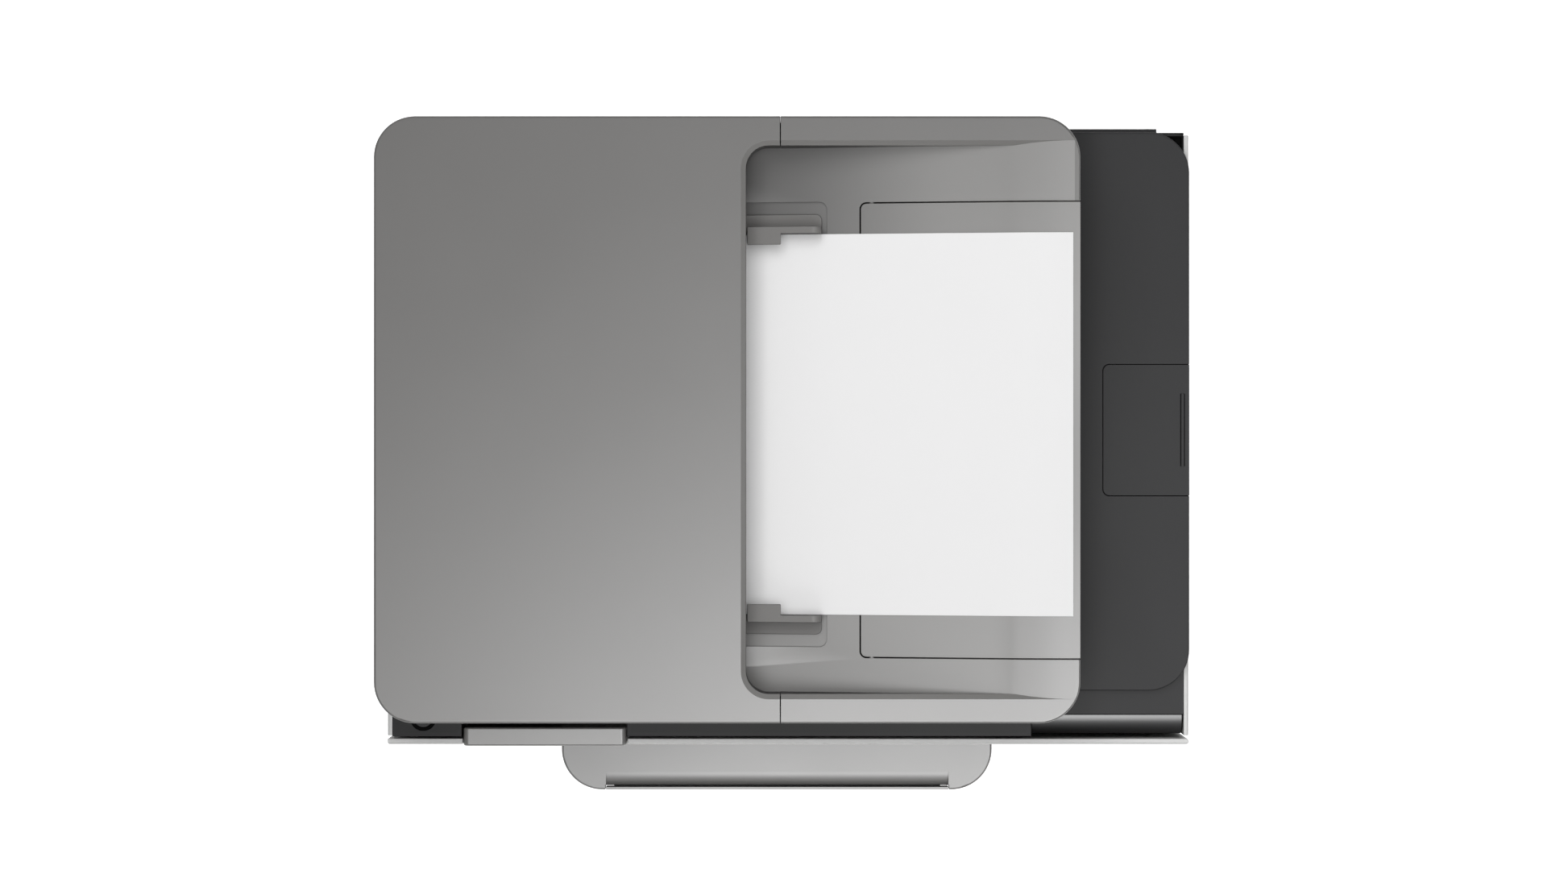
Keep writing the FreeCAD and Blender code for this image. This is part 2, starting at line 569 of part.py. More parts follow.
plates = [box(f"frame_plate_{number}", span, ("frame_front", "frame_rear"), ("frame_low", "frame_top"))
          for number,
          span in enumerate((("-frame_half", "sheet_metal - frame_half"),
                             ("frame_half - sheet_metal", "frame_half")), 1)]
frame_bottom = box("frame_bottom", ("-frame_half", "frame_half"), ("frame_front", "frame_rear"),
                   ("frame_low", "frame_low + plate_metal"))
frame_back = box("frame_back", ("-frame_half", "frame_half"), ("frame_rear - sheet_metal", "frame_rear"),
                 ("frame_low", "frame_top"))
idler_boss = rod("idler_boss", "y", (44, "frame_rear"), ("-belt_x", "belt_z"), "belt_r - 0.1")
through = ("-frame_half - 1", "frame_half + 1")
frame_bores = [rod("frame_rod_bore", "x", through, ("rod_y", "rod_z"), "rod_r + 0.01"),
               rod("frame_feed_bore", "x", through, ("feed_roll_y", "feed_roll_z"), "axle_r + 0.08"),
               rod("frame_exit_bore", "x", through, ("exit_roll_y", "exit_roll_z"), "axle_r + 0.08"),
               rod("frame_motor_bore", "y", ("frame_rear - 5", "frame_rear + 1"), ("belt_x", "belt_z"),
                   2.08)]
mech_frame = cut("mech_frame", fuse("frame_sheet", *plates, frame_bottom, frame_back, idler_boss),
                 *frame_bores)

carriage_rod = rod("carriage_rod", "x", ("-frame_half", "frame_half"), ("rod_y", "rod_z"), "rod_r")

platen = fuse("platen", box("platen_top", (-118, 104), (-36, 16), (84, 88)),
              *[box(f"platen_leg_{number}", (-118, 104), span, ("frame_low + plate_metal", 85)) for number,
                span in enumerate(((-36, -33), (13, 16)), 1)],
              *[box(f"platen_rib_{number}", (x, x + 1.2), (-30, 10), (87, 89)) for number,
                x in enumerate(range(-110, 100, 21), 1)])
station_tub = cut("station_tub",
                  box("station_block", (114, 196), (-34, 12), ("frame_low + plate_metal", 89)),
                  box("station_hollow", (117, 193), (-31, 9), (80, 95)))
service_station = fuse("service_station", station_tub,
                       *[box(f"station_cap_{number}", (x, x + 16), (-24, 4), (79, 90.5)) for number,
                         x in enumerate((121, 139, 157, 175), 1)])


def roller(name, y, z, radius, sleeves):
    axle = rod(name + "_axle", "x", ("-frame_half", "frame_half"), (y, z), "axle_r")
    return fuse(name, axle,
                *[rod(f"{name}_sleeve_{number}", "x", span, (y, z), radius) for number,
                  span in enumerate(sleeves, 1)])


feed_roller = roller("feed_roller", "feed_roll_y", "feed_roll_z", "feed_roll_r",
                     ((-105, -65), (-30, 20), (55, 95)))
exit_roller = roller("exit_roller", "exit_roll_y", "exit_roll_z", "exit_roll_r",
                     ((-100, -88), (-45, -33), (22, 34), (77, 89)))


def loop(name, radius, y):
    """The outline of a belt round two pulleys."""
    ends = [rod(f"{name}_end_{number}", "y", y, (x, "belt_z"), radius) for number,
            x in enumerate(("-belt_x", "belt_x"), 1)]
    return fuse(name,
                box(name + "_run", ("-belt_x", "belt_x"), y,
                    (f"belt_z - ({radius})", f"belt_z + ({radius})")), *ends)


carriage_belt = cut("carriage_belt", loop("belt_outside", "belt_r + belt_thick", (44, 48)),
                    loop("belt_inside", "belt_r", (43, 49)))
drive_pulley = fuse("drive_pulley",
                    rod("pulley_drum", "y", (43.5, 48.5), ("belt_x", "belt_z"), "belt_r - 0.1"),
                    rod("pulley_shaft", "y", (42, 70), ("belt_x", "belt_z"), 2))
carriage_motor = cut("carriage_motor", rod("motor_can", "y", ("frame_rear", 90), ("belt_x", "belt_z"), 14),
                     rod("motor_bore", "y", (50, 75), ("belt_x", "belt_z"), 2.08))

head_x = ("head_left", "head_left + head_wide")
head_block = box("head_block", head_x, ("head_front", "head_rear"), ("head_low", "head_top"))
head_nozzle = box("head_nozzle", ("head_left + 10", "head_left + head_wide - 10"), (-30, -4),
                  (92, "head_low + 1"))
head_boss = box("head_boss", ("head_left + 8", "head_left + head_wide - 8"),
                ("head_rear - 1", "rod_y + 10"), ("rod_z - 9", "rod_z + 9"))
head_clamp = box("head_clamp", ("head_left + 35", "head_left + 55"), ("rod_y + 8", 48),
                 ("rod_z + 6", "belt_z - belt_r - belt_thick - 0.3"))
head_slots = [box(f"head_slot_{number + 1}",
                  (f"head_left + 2.5 + {number} * tank_pitch",
                   f"head_left + 2.5 + {number} * tank_pitch + tank_wide + 0.6"), ("head_front - 1", 10),
                  ("head_low + 3", "head_top + 1")) for number in range(4)]
head_bore = rod("head_bore", "x", ("head_left", "head_left + head_wide"), ("rod_y", "rod_z"),
                "rod_r + 0.08")
print_carriage = cut("print_carriage", fuse("head_whole", head_block, head_nozzle, head_boss, head_clamp),
                     *head_slots, head_bore)


def cartridge(name, number):
    left = f"head_left + 2.8 + {number} * tank_pitch"
    tank = box(name + "_tank", (left, f"{left} + tank_wide"), ("head_front", 8),
               ("head_low + 3.3", "head_top - 2"))
    grip = box(name + "_grip", (f"{left} + 3", f"{left} + tank_wide - 3"),
               ("head_front - 6", "head_front + 1"), (126, 138))
    return fuse(name, tank, grip)


cartridges = [cartridge(f"ink_cartridge_{colour}", number) for number,
              colour in enumerate(("black", "cyan", "magenta", "yellow"))]

# ---------------------------------------------------------------- scanner

scan_x = ("lid_left + scan_inset", "lid_right - scan_inset")
scan_y = ("lid_front + scan_inset", "lid_rear - scan_inset")
scan_block = plate("scan_block", scan_x, scan_y, ("scan_low", "scan_top"), "lid_corner - scan_inset")
scan_room_x = ("lid_left + scan_inset + 3", "lid_right - scan_inset - 3")
scan_room = plate("scan_room", scan_room_x, ("lid_front + scan_inset + 3", "lid_rear - scan_inset - 3"),
                  ("scan_low + 3", "scan_top - 3.5"), "lid_corner - scan_inset - 3")
glass_y = (-97, 137)
panes = {"scanner_glass": (-198, 114), "adf_glass_strip": (-216, -203)}
seats = []
for name, (low, high) in panes.items():
    seats.append(box(name + "_seat", (low, high), glass_y, ("scan_top - 2.3", "scan_top + 1")))
    seats.append(box(name + "_light", (low + 2, high - 2), (glass_y[0] + 2, glass_y[1] - 2),
                     ("scan_top - 5", "scan_top + 1")))
scanner_base = cut("scanner_base", scan_block, scan_room, *seats)
glass = [box(name, (low + 0.1, high - 0.1), (glass_y[0] + 0.1, glass_y[1] - 0.1),
             ("scan_top - 2.3", "scan_top")) for name, (low, high) in panes.items()]

scan_rail = rod("scan_rail", "x", scan_room_x, (20, 206.5), 3)
scan_bar = box("scan_bar", (-217, -203), (-105, 145), (202.5, 216.6))
scan_carriage = cut("scan_carriage", scan_bar, rod("scan_bar_bore", "x", (-220, -200), (20, 206.5), 3.08))

hinge_spans = ((-170, -150), (94, 114))
knuckles = [rod(f"hinge_knuckle_{number}", "x", span, ("hinge_y", "hinge_z"), "knuckle") for number,
            span in enumerate(hinge_spans, 1)]
legs = [box(f"hinge_leg_{number}", span, ("hinge_y - 2.7", "hinge_y + 1.1"), ("scan_top", "hinge_z"))
        for number, span in enumerate(hinge_spans, 1)]
hinge_bore = rod("hinge_bore", "x", (-180, 120), ("hinge_y", "hinge_z"), "hinge_pin + 0.08")
lid_hinge_brackets = cut("lid_hinge_brackets", fuse("hinge_blocks", *knuckles, *legs), hinge_bore)

# ---------------------------------------------------------------- lid and feeder shells

lid_plate = plate("lid_plate", ("lid_left", "lid_right"), ("lid_front", "lid_rear"),
                  ("lid_low", "lid_skin"), "lid_corner",
                  extra=[("Fillet", "edge_round", [{"z": "lid_low"}])])
lid_notches = [box(f"lid_notch_{number}", (low - 1.5, high + 1.5), ("hinge_y - 6", "lid_rear + 1"),
                   ("lid_low - 1", "lid_skin + 1")) for number, (low, high) in enumerate(hinge_spans, 1)]
lid_pins = [rod(f"lid_pin_{number}", "x", (low - 4, high + 4), ("hinge_y", "hinge_z"), "hinge_pin")
            for number, (low, high) in enumerate(hinge_spans, 1)]
lid_base = fuse("lid_base", cut("lid_notched", lid_plate, *lid_notches), *lid_pins)
lid_backing_pad = plate("lid_backing_pad", (-200, 116), (-99, 139), ("lid_low - 1.2", "lid_low"), 6)

frame_plate = plate("adf_floor", (-208, 150), (-134, 182), ("lid_skin", "shell_low"), 14)
cheek_spans = ((-118, -114.5), (161.5, 165))
cheeks = [box(f"adf_cheek_{number}", (-205, -32), span, ("lid_skin", 264)) for number,
          span in enumerate(cheek_spans, 1)]
ear_spans = ((-112, -106), (153, 159))
ears = [rod(f"adf_ear_{number}", "y", span, ("cover_axis_x", "cover_axis_z"), 5) for number,
        span in enumerate(ear_spans, 1)]
ear_arms = [box(f"adf_ear_arm_{number}", ("cover_axis_x", -203), span,
                ("shell_low - 0.5", "cover_axis_z - 2")) for number, span in enumerate(ear_spans, 1)]
ear_bore = rod("adf_ear_bore", "y", (-113, 160), ("cover_axis_x", "cover_axis_z"), "cover_pin + 0.08")
shaft_bore = rod("adf_shaft_bore", "y", (-119, 166), ("shaft_x", "shaft_z"), "shaft_r + 0.08")
adf_frame = cut("adf_frame", fuse("adf_frame_whole", frame_plate, *cheeks, *ears, *ear_arms), ear_bore,
                shaft_bore)

tray_shell = plate("adf_tray_shell", ("seam_x + seam_gap", "lid_right"), ("lid_front", "lid_rear"),
                   ("shell_low", "lid_top"), "lid_corner", ("right", "front", "rear"),
                   [("Fillet", "edge_round", [{"z": "lid_top", "x": "lid_right"}])])
ramp_plate = ramp_band("adf_ramp", "ramp_left", "seam_x + 2", "-ramp_skin", 0, (-112, 159))
ramp_wings = ramp_band("adf_ramp_wings", -30, "seam_x + 2", "-ramp_skin", 0,
                       ("recess_front - 2.7", "recess_rear + 2.7"))
above = [("ramp_left", 300)] + ramp_line("ramp_left", "lid_right + 6", 0) + [("lid_right + 6", 300)]
recess_room = prism("adf_recess_room", "XZ", above[::-1], ("recess_front", "recess_rear"))
flare_x = ("recess_left - recess_bevel", "lid_right + 6")
flare_y = ("recess_front - recess_bevel", "recess_rear + recess_bevel")
flare_tools = [plate(f"recess_flare_{number}", flare_x, flare_y, ("lid_top - recess_bevel", 290),
                     "recess_corner + recess_bevel", ("left", "front", "rear"),
                     [("Chamfer", "recess_bevel - 0.01", [{"z": "lid_top - recess_bevel"}])])
               for number in (1, 2)]
tray_flare = overlap("adf_tray_flare", flare_tools[0], prism("adf_flare_limit", "XZ", above[::-1], flare_y))
bay_y = ("flap_front - flap_gap", "flap_rear + flap_gap")
below = [("seam_x - 1", 220), ("lid_right + 6", 220)] + ramp_line("seam_x - 1", "lid_right + 6",
                                                                  "-ramp_skin")[::-1]
bay_room = prism("adf_bay_room", "XZ", below, bay_y)
flap_room = plate("adf_flap_room", ("flap_left - flap_gap", "lid_right + 6"), bay_y, (230, 300),
                  "flap_corner + flap_gap", ("left", "front", "rear"))
arm_line = [("seam_x + 4", 220), (140, 220)] + [(140, "lid_top - 6"),
                                                ("ramp_end_x", ramp_height("ramp_end_x", -4)),
                                                ("seam_x + 4", ramp_height("seam_x + 4", -4))]
arm_rooms = [prism(f"adf_arm_room_{number}", "XZ", arm_line, span) for number,
             span in enumerate((("lid_front + 3", "flap_front - flap_gap - 3"),
                                ("flap_rear + flap_gap + 3", "lid_rear - 3")), 1)]
channel = ramp_band("adf_channel", -62, "channel_right", "-channel_deep", 2,
                    ("feed_y - channel_half", "feed_y + channel_half"),
                    [("Fillet", 4.5, [{"along": "z", "x": "channel_right"}])])
flap_bore = rod("adf_flap_bore", "y", ("flap_front - 5", "flap_rear + 5"), ("flap_axis_x", "flap_axis_z"),
                "flap_pin + 0.08")
tray_carved = cut("adf_tray_carved", tray_shell, recess_room, tray_flare, bay_room, *arm_rooms)
tray_tab = fuse("adf_tray_tab",
                box("tray_tab_low", ("seam_x - 3", "seam_x + 4"), (184, 191.6),
                    ("lid_skin + 0.3", "shell_low - 0.2")),
                box("tray_tab_high", ("seam_x + 0.6", "seam_x + 4"), (184, 191.6),
                    ("shell_low - 0.3", "shell_low + 1")))
adf_tray = cut("adf_tray",
               fuse("adf_tray_whole", tray_carved, ramp_plate, ramp_wings, tray_tab,
                    ramp_band("adf_ramp_right", "seam_x + 1", "flap_left - flap_gap", "-ramp_skin", 0,
                              bay_y)), channel, flap_room, flap_bore)

flap_leaf = ramp_band("flap_leaf", "flap_left", "lid_right", "-ramp_skin", 0, ("flap_front", "flap_rear"),
                      [("Fillet", "flap_corner", [{"along": "z", "x": "flap_left"}])])
tray_flap = fuse("tray_flap", flap_leaf,
                 rod("flap_pins", "y", ("flap_front - 4", "flap_rear + 4"), ("flap_axis_x", "flap_axis_z"),
                     "flap_pin"))

document_sheets = ramp_band("document_sheets", "sheet_left", "sheet_right", "sheet_low", "sheet_high",
                            ("feed_y - sheet_half", "feed_y + sheet_half"))


def sheet_guide(name, side):
    """One of the two sliding guides. The side is -1 for the front and 1 for the rear."""

    def span(near, far):
        ends = [f"feed_y + ({side}) * ({near})", f"feed_y + ({side}) * ({far})"]
        return ends if side > 0 else ends[::-1]

    foot = ramp_band(name + "_foot", -60, "guide_right", "0.2 - channel_deep", 0.05,
                     span("guide_in", "guide_foot"),
                     [("Fillet", 3.2,
                       [{"along": "z", "x": "guide_right", "y": f"feed_y + ({side}) * guide_foot"}])])
    wall = ramp_band(name + "_wall", "recess_left + 0.6", "guide_right", "-1", "guide_high",
                     span("guide_in", "guide_out"),
                     [("Fillet", 5,
                       [{"along": "y", "x": "guide_right",
                         "z": ramp_height("guide_right", "guide_high")}])])
    lip = ramp_band(name + "_lip", "recess_left + 0.6", "lip_right", "guide_high - 2", "guide_high",
                    span("guide_lip", "guide_in + 1"))
    return fuse(name, foot, wall, lip)


adf_guide_front = sheet_guide("adf_guide_front", -1)
adf_guide_rear = sheet_guide("adf_guide_rear", 1)

arm_cheeks = [box(f"pick_cheek_{number}", (-193, -112), span, (246, 259)) for number,
              span in enumerate(((-3, 0), (47, 50)), 1)]
arm_roof = box("pick_roof", (-178, -134), (-3, 50), (257, 259.5))
adf_pick_arm = cut("adf_pick_arm", fuse("pick_arm_whole", *arm_cheeks, arm_roof),
                   rod("pick_arm_bore", "y", (-5, 52), ("shaft_x", "shaft_z"), "shaft_r + 0.08"),
                   rod("pick_axle_bore", "y", (-5, 52), ("pick_x", "pick_z"), 2.08))
adf_pick_roller = fuse("adf_pick_roller", rod("pick_tyre", "y", (3, 44), ("pick_x", "pick_z"), "pick_r"),
                       rod("pick_axle", "y", (-4, 51), ("pick_x", "pick_z"), 2))
adf_feed_shaft = fuse("adf_feed_shaft",
                      rod("shaft_bar", "y", (-118, 165), ("shaft_x", "shaft_z"), "shaft_r"),
                      *[rod(f"shaft_drum_{number}", "y", span, ("shaft_x", "shaft_z"), 8.5) for number,
                        span in enumerate(((-90, -20), (67, 137)), 1)],
                      rod("shaft_gear", "y", (-112.5, -106), ("shaft_x", "shaft_z"), 10))

cover_x = ("lid_left", "seam_x - seam_gap")
left_sides = ("left", "front", "rear")
cover_block = plate("cover_block", cover_x, ("lid_front", "lid_rear"), ("shell_low", "lid_top"),
                    "lid_corner", left_sides,
                    [("Fillet", "edge_round", [{"z": "lid_top", "x": "lid_left"}])])
cover_room = plate("cover_room", ("lid_left + shell_wall", 10),
                   ("lid_front + shell_wall", "lid_rear - shell_wall"), (220, "lid_top - shell_wall"),
                   "lid_corner - shell_wall", left_sides)
curtain = plate("cover_curtain", (flare_x[0], cover_x[1]), flare_y, (252, "lid_top - shell_wall + 1"),
                "recess_corner + recess_bevel", left_sides)
recess_tool = plate("cover_recess", ("recess_left", 10), ("recess_front", "recess_rear"), (240, 290),
                    "recess_corner", left_sides)
rib_spans = ((-104.6, -101.6), (148.6, 151.6))
ribs = [box(f"cover_rib_{number}", (-224.5, -214), span, ("cover_axis_z - 4", "lid_top - 2")) for number,
        span in enumerate(rib_spans, 1)]
cover_pins = [rod(f"cover_pin_{number}", "y", span, ("cover_axis_x", "cover_axis_z"), "cover_pin")
              for number, span in enumerate(((-113, -102), (149, 160)), 1)]
cover_notches = [box(f"cover_notch_{number}", (-230, -219), (low - 1.5, high + 1.5),
                     (220, "cover_axis_z + 6.8")) for number, (low, high) in enumerate(ear_spans, 1)]
cover_shell = cut("cover_shell", fuse("cover_walls", cut("cover_hollow", cover_block, cover_room), curtain),
                  recess_tool, flare_tools[1], *cover_notches)
adf_cover = fuse("adf_cover", cover_shell, *ribs, *cover_pins)

# ---------------------------------------------------------------- checks and export

nodes = [base_chassis, rubber_feet, left_side_panel, right_side_panel, front_fascia, front_usb_port,
         rear_cover, rear_screws, upper_housing, gloss_trim, document_deck, document_flap, front_door,
         control_panel, touch_screen, power_button, input_tray, tray_guide_left, tray_guide_right,
         tray_guide_length, output_tray, output_extension, paper_stop, rear_door, power_inlet,
         interface_ports, main_board, power_supply, mech_frame, carriage_rod, platen, service_station,
         feed_roller, exit_roller, carriage_belt, drive_pulley, carriage_motor, print_carriage, *cartridges,
         scanner_base, *glass, scan_rail, scan_carriage, lid_hinge_brackets, lid_base, lid_backing_pad,
         adf_frame, adf_tray, tray_flap, document_sheets, adf_guide_front, adf_guide_rear, adf_pick_arm,
         adf_pick_roller, adf_feed_shaft, adf_cover,]
doc.recompute()
faults = [f"{item.Name}: {item.State}" for item in doc.Objects if {"Invalid", "Error"} & set(item.State)]
faults += [f"{node.Name}: bad shape" for node in nodes if node.Shape.isNull() or not node.Shape.isValid()]
if faults:
    raise RuntimeError("; ".join(faults))
os.makedirs("parts", exist_ok=True)
for node in nodes:
    node.Label = node.Name
    node.Shape.exportStep(f"parts/{node.Name}.step")
print(len(nodes), "parts written")
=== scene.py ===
import math

import bmesh
import bpy
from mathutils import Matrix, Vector


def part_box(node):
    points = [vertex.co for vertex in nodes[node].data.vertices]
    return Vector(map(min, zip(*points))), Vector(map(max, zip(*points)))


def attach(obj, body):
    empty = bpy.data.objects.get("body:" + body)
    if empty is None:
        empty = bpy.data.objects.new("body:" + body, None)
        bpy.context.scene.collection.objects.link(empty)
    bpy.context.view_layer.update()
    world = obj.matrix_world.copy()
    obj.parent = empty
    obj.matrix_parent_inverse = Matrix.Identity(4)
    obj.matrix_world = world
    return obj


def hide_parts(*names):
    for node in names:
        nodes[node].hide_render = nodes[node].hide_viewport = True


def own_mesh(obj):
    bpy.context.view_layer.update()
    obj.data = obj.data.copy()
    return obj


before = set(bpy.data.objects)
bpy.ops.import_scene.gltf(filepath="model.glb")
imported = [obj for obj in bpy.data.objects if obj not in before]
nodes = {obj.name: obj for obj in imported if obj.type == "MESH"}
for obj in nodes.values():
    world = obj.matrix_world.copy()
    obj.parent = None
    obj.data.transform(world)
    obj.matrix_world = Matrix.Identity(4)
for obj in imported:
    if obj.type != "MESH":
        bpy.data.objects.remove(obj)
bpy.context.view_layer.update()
mm = 0.001


def corners(node):  # a node's lowest and highest corner at rest, in millimetres
    return [[round(number / mm, 3) for number in corner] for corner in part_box(node)]


# Shader maths: a Flow is one output socket, and + - * on it add the nodes.
class Flow:
    def __init__(self, tree, socket):
        self.tree = tree
        self.socket = socket

    def join(self, operation, other, flipped=False):
        pair = (other, self) if flipped else (self, other)
        kind = "VectorMath" if self.socket.type == "VECTOR" else "Math"
        return self.tree.node(kind, {"operation": operation}, dict(enumerate(pair)))

    def __add__(self, other):
        return self.join("ADD", other)

    def __radd__(self, other):
        return self.join("ADD", other, True)

    def __sub__(self, other):
        return self.join("SUBTRACT", other)

    def __rsub__(self, other):
        return self.join("SUBTRACT", other, True)

    def __mul__(self, other):
        return self.join("MULTIPLY", other)

    def __rmul__(self, other):
        return self.join("MULTIPLY", other, True)

    def clamp(self):
        return self.tree.node("Clamp", {}, {0: self})


class Tree:
    def __init__(self, name):
        self.material = bpy.data.materials.new(name)
        self.material.use_nodes = True
        self.tree = self.material.node_tree
        self.tree.nodes.clear()

    def node(self, kind, settings, inputs, output=0):
        made = self.tree.nodes.new("ShaderNode" + kind)
        for name, setting in settings.items():
            setattr(made, name, setting)
        for name, given in inputs.items():
            socket = made.inputs[name]
            if isinstance(given, Flow):
                self.tree.links.new(given.socket, socket)
            elif socket.type == "RGBA":
                socket.default_value = (*given, 1)
            else:
                socket.default_value = given
        return Flow(self, made.outputs[output])

    def spot(self):
        return self.node("TexCoord", {}, {}, "Object")

    def noise(self, spot, scale, detail=2.0, roughness=0.5):  # a higher detail or roughness breaks it up more
        inputs = {"Vector": spot, "Scale": scale, "Detail": detail, "Roughness": roughness}
        return self.node("TexNoise", {}, inputs)

    def reach(self, spot, axis, start, end):  # 0 before the start, 1 past the end, both in millimetres
        place = self.node("SeparateXYZ", {}, {0: spot}, axis)
        inputs = {0: place, 1: start * mm, 2: end * mm}
        return self.node("MapRange", {"interpolation_type": "SMOOTHSTEP"}, inputs)

    def mix(self, factor, first, second):
        return self.node("Mix", {"data_type": "RGBA"}, {0: factor, 6: first, 7: second}, 2)

    def bump(self, height, strength, distance):
        return self.node("Bump", {}, {"Height": height, "Strength": strength, "Distance": distance})

    def finish(self, inputs):
        shader = self.node("BsdfPrincipled", {}, inputs)
        out = self.tree.nodes.new("ShaderNodeOutputMaterial")
        self.tree.links.new(shader.socket, out.inputs["Surface"])
        return self.material


def shaded(colour, share):
    return tuple(channel * share for channel in colour)


# Moulded plastic: a fine spark-eroded grain, faint cloudiness and slightly uneven gloss, and on some looks
# painted light and shade that fade along X and Y
plasticBase = {"grainDetail": 3.0, "grainRough": 0.6, "grainDepth": 0.00012, "cloudScale": 9.0,
               "cloudShare": 0.65, "fleckScale": 0.45, "fleckDetail": 1.0,
               "roughSpread": 0.08, "specular": 0.5, "ior": 1.5}


def mouldedPlastic(name, finish):
    finish = {**plasticBase, **finish}
    tree = Tree(name)
    spot = tree.spot()
    grain = tree.noise(spot, finish["grainScale"], finish["grainDetail"], finish["grainRough"])
    cloud = tree.noise(spot, finish["cloudScale"])
    fleck = tree.noise(spot, finish["grainScale"] * finish["fleckScale"], finish["fleckDetail"])
    amount = (cloud * finish["cloudShare"] + fleck * (1 - finish["cloudShare"])).clamp()
    darker = shaded(finish["colour"], 1 - finish["variation"])
    lighter = shaded(finish["colour"], 1 + finish["variation"])
    colour = tree.mix(amount, darker, lighter)
    if "fade" in finish:  # painted light and shade: slides into a second colour along X
        start, end, second = finish["fade"]
        share = tree.reach(spot, 0, start, end)
        if "rearSpan" in finish:  # the painted fade is weaker towards the rear
            share = share * (1 - tree.reach(spot, 1, *finish["rearSpan"]) * finish["rearLoss"])
        colour = tree.mix(share, colour, second)
    if "corner" in finish:  # painted shade: darker towards the rear left
        side, back, depth = finish["corner"]
        share = (1 - tree.reach(spot, 0, *side)) * tree.reach(spot, 1, *back)
        colour = tree.mix(share, colour, shaded(finish["colour"], depth))
    return tree.finish({
        "Base Color": colour,
        "Roughness": finish["roughness"] + (cloud - 0.5) * finish["roughSpread"],
        "Specular IOR Level": finish["specular"],
        "IOR": finish["ior"],
        "Normal": tree.bump(grain, finish["grainStrength"], finish["grainDepth"]),
    })


# Gloss plastic: a clear coat and faint smears, and where asked a painted sheen
glossBase = {"smearScale": 18.0, "smearDetail": 3.0, "smearRough": 0.55, "roughSpread": 0.05,
             "specular": 0.5, "coatRoughness": 0.04, "coatIor": 1.5}


def glossPlastic(name, finish):
    finish = {**glossBase, **finish}
    tree = Tree(name)
    spot = tree.spot()
    smear = tree.noise(spot, finish["smearScale"], finish["smearDetail"], finish["smearRough"])
    coat = finish["coat"]
    if "paintedSheenSpan" in finish:  # painted sheen: the coat grows towards the rear
        coat = tree.reach(spot, 1, *finish["paintedSheenSpan"]) * coat
    return tree.finish({
        "Base Color": finish["colour"],
        "Roughness": finish["roughness"] + (smear - 0.5) * finish["roughSpread"],
        "Specular IOR Level": finish["specular"],
        "Coat Weight": coat,
        "Coat Roughness": finish["coatRoughness"],
        "Coat IOR": finish["coatIor"],
    })


# Metal: spangled, and brushed along the axis with the smallest stretch
metalBase = {"stretch": (1.0, 1.0, 1.0), "grainDetail": 3.0, "grainRough": 0.6, "grainStrength": 0.12,
             "grainDepth": 0.0001, "spangleScale": 60.0, "spangleDetail": 1.0, "dull": 0.88,
             "bright": 1.08, "roughSpread": 0.18}


def plainMetal(name, finish):
    finish = {**metalBase, **finish}
    tree = Tree(name)
    spot = tree.spot()
    stretched = spot * finish["stretch"]
    brushed = tree.noise(stretched, finish["grainScale"], finish["grainDetail"], finish["grainRough"])
    spangle = tree.noise(spot, finish["spangleScale"], finish["spangleDetail"])
    dull, bright = shaded(finish["colour"], finish["dull"]), shaded(finish["colour"], finish["bright"])
    return tree.finish({
        "Base Color": tree.mix(spangle, dull, bright),
        "Metallic": 1.0,
        "Roughness": finish["roughness"] + (brushed - 0.5) * finish["roughSpread"],
        "Normal": tree.bump(brushed, finish["grainStrength"], finish["grainDepth"]),
    })


# Glass: see-through by its alpha, with a thin coat
def clearGlass(name, finish):
    return Tree(name).finish({
        "Base Color": finish["colour"],
        "Roughness": finish["roughness"],
        "Alpha": finish["alpha"],
        "Coat Weight": finish["coat"],
    })


# Paper: faint clouds and a fibre bump
paperBase = {"fibreScale": 900.0, "fibreDetail": 4.0, "fibreRough": 0.7, "fibreStrength": 0.08,
             "fibreDepth": 0.00005, "cloudScale": 30.0, "dull": 0.985, "roughness": 0.9, "specular": 0.15}


def officePaper(name, finish):
    finish = {**paperBase, **finish}
    tree = Tree(name)
    spot = tree.spot()
    fibre = tree.noise(spot, finish["fibreScale"], finish["fibreDetail"], finish["fibreRough"])
    cloud = tree.noise(spot, finish["cloudScale"])
    return tree.finish({
        "Base Color": tree.mix(cloud, shaded(finish["colour"], finish["dull"]), finish["colour"]),
        "Roughness": finish["roughness"],
        "Specular IOR Level": finish["specular"],
        "Normal": tree.bump(fibre, finish["fibreStrength"], finish["fibreDepth"]),
    })


# Lamps and screen tiles: they glow a little behind a slightly hazy face
lampBase = {"hazeScale": 120.0, "roughness": 0.25, "roughSpread": 0.1}


def glowing(name, finish):
    finish = {**lampBase, **finish}
    tree = Tree(name)
    haze = tree.noise(tree.spot(), finish["hazeScale"])
    return tree.finish({
        "Base Color": finish["colour"],
        "Roughness": finish["roughness"] + (haze - 0.5) * finish["roughSpread"],
        "Emission Color": finish["colour"],
        "Emission Strength": finish["glow"],
    })
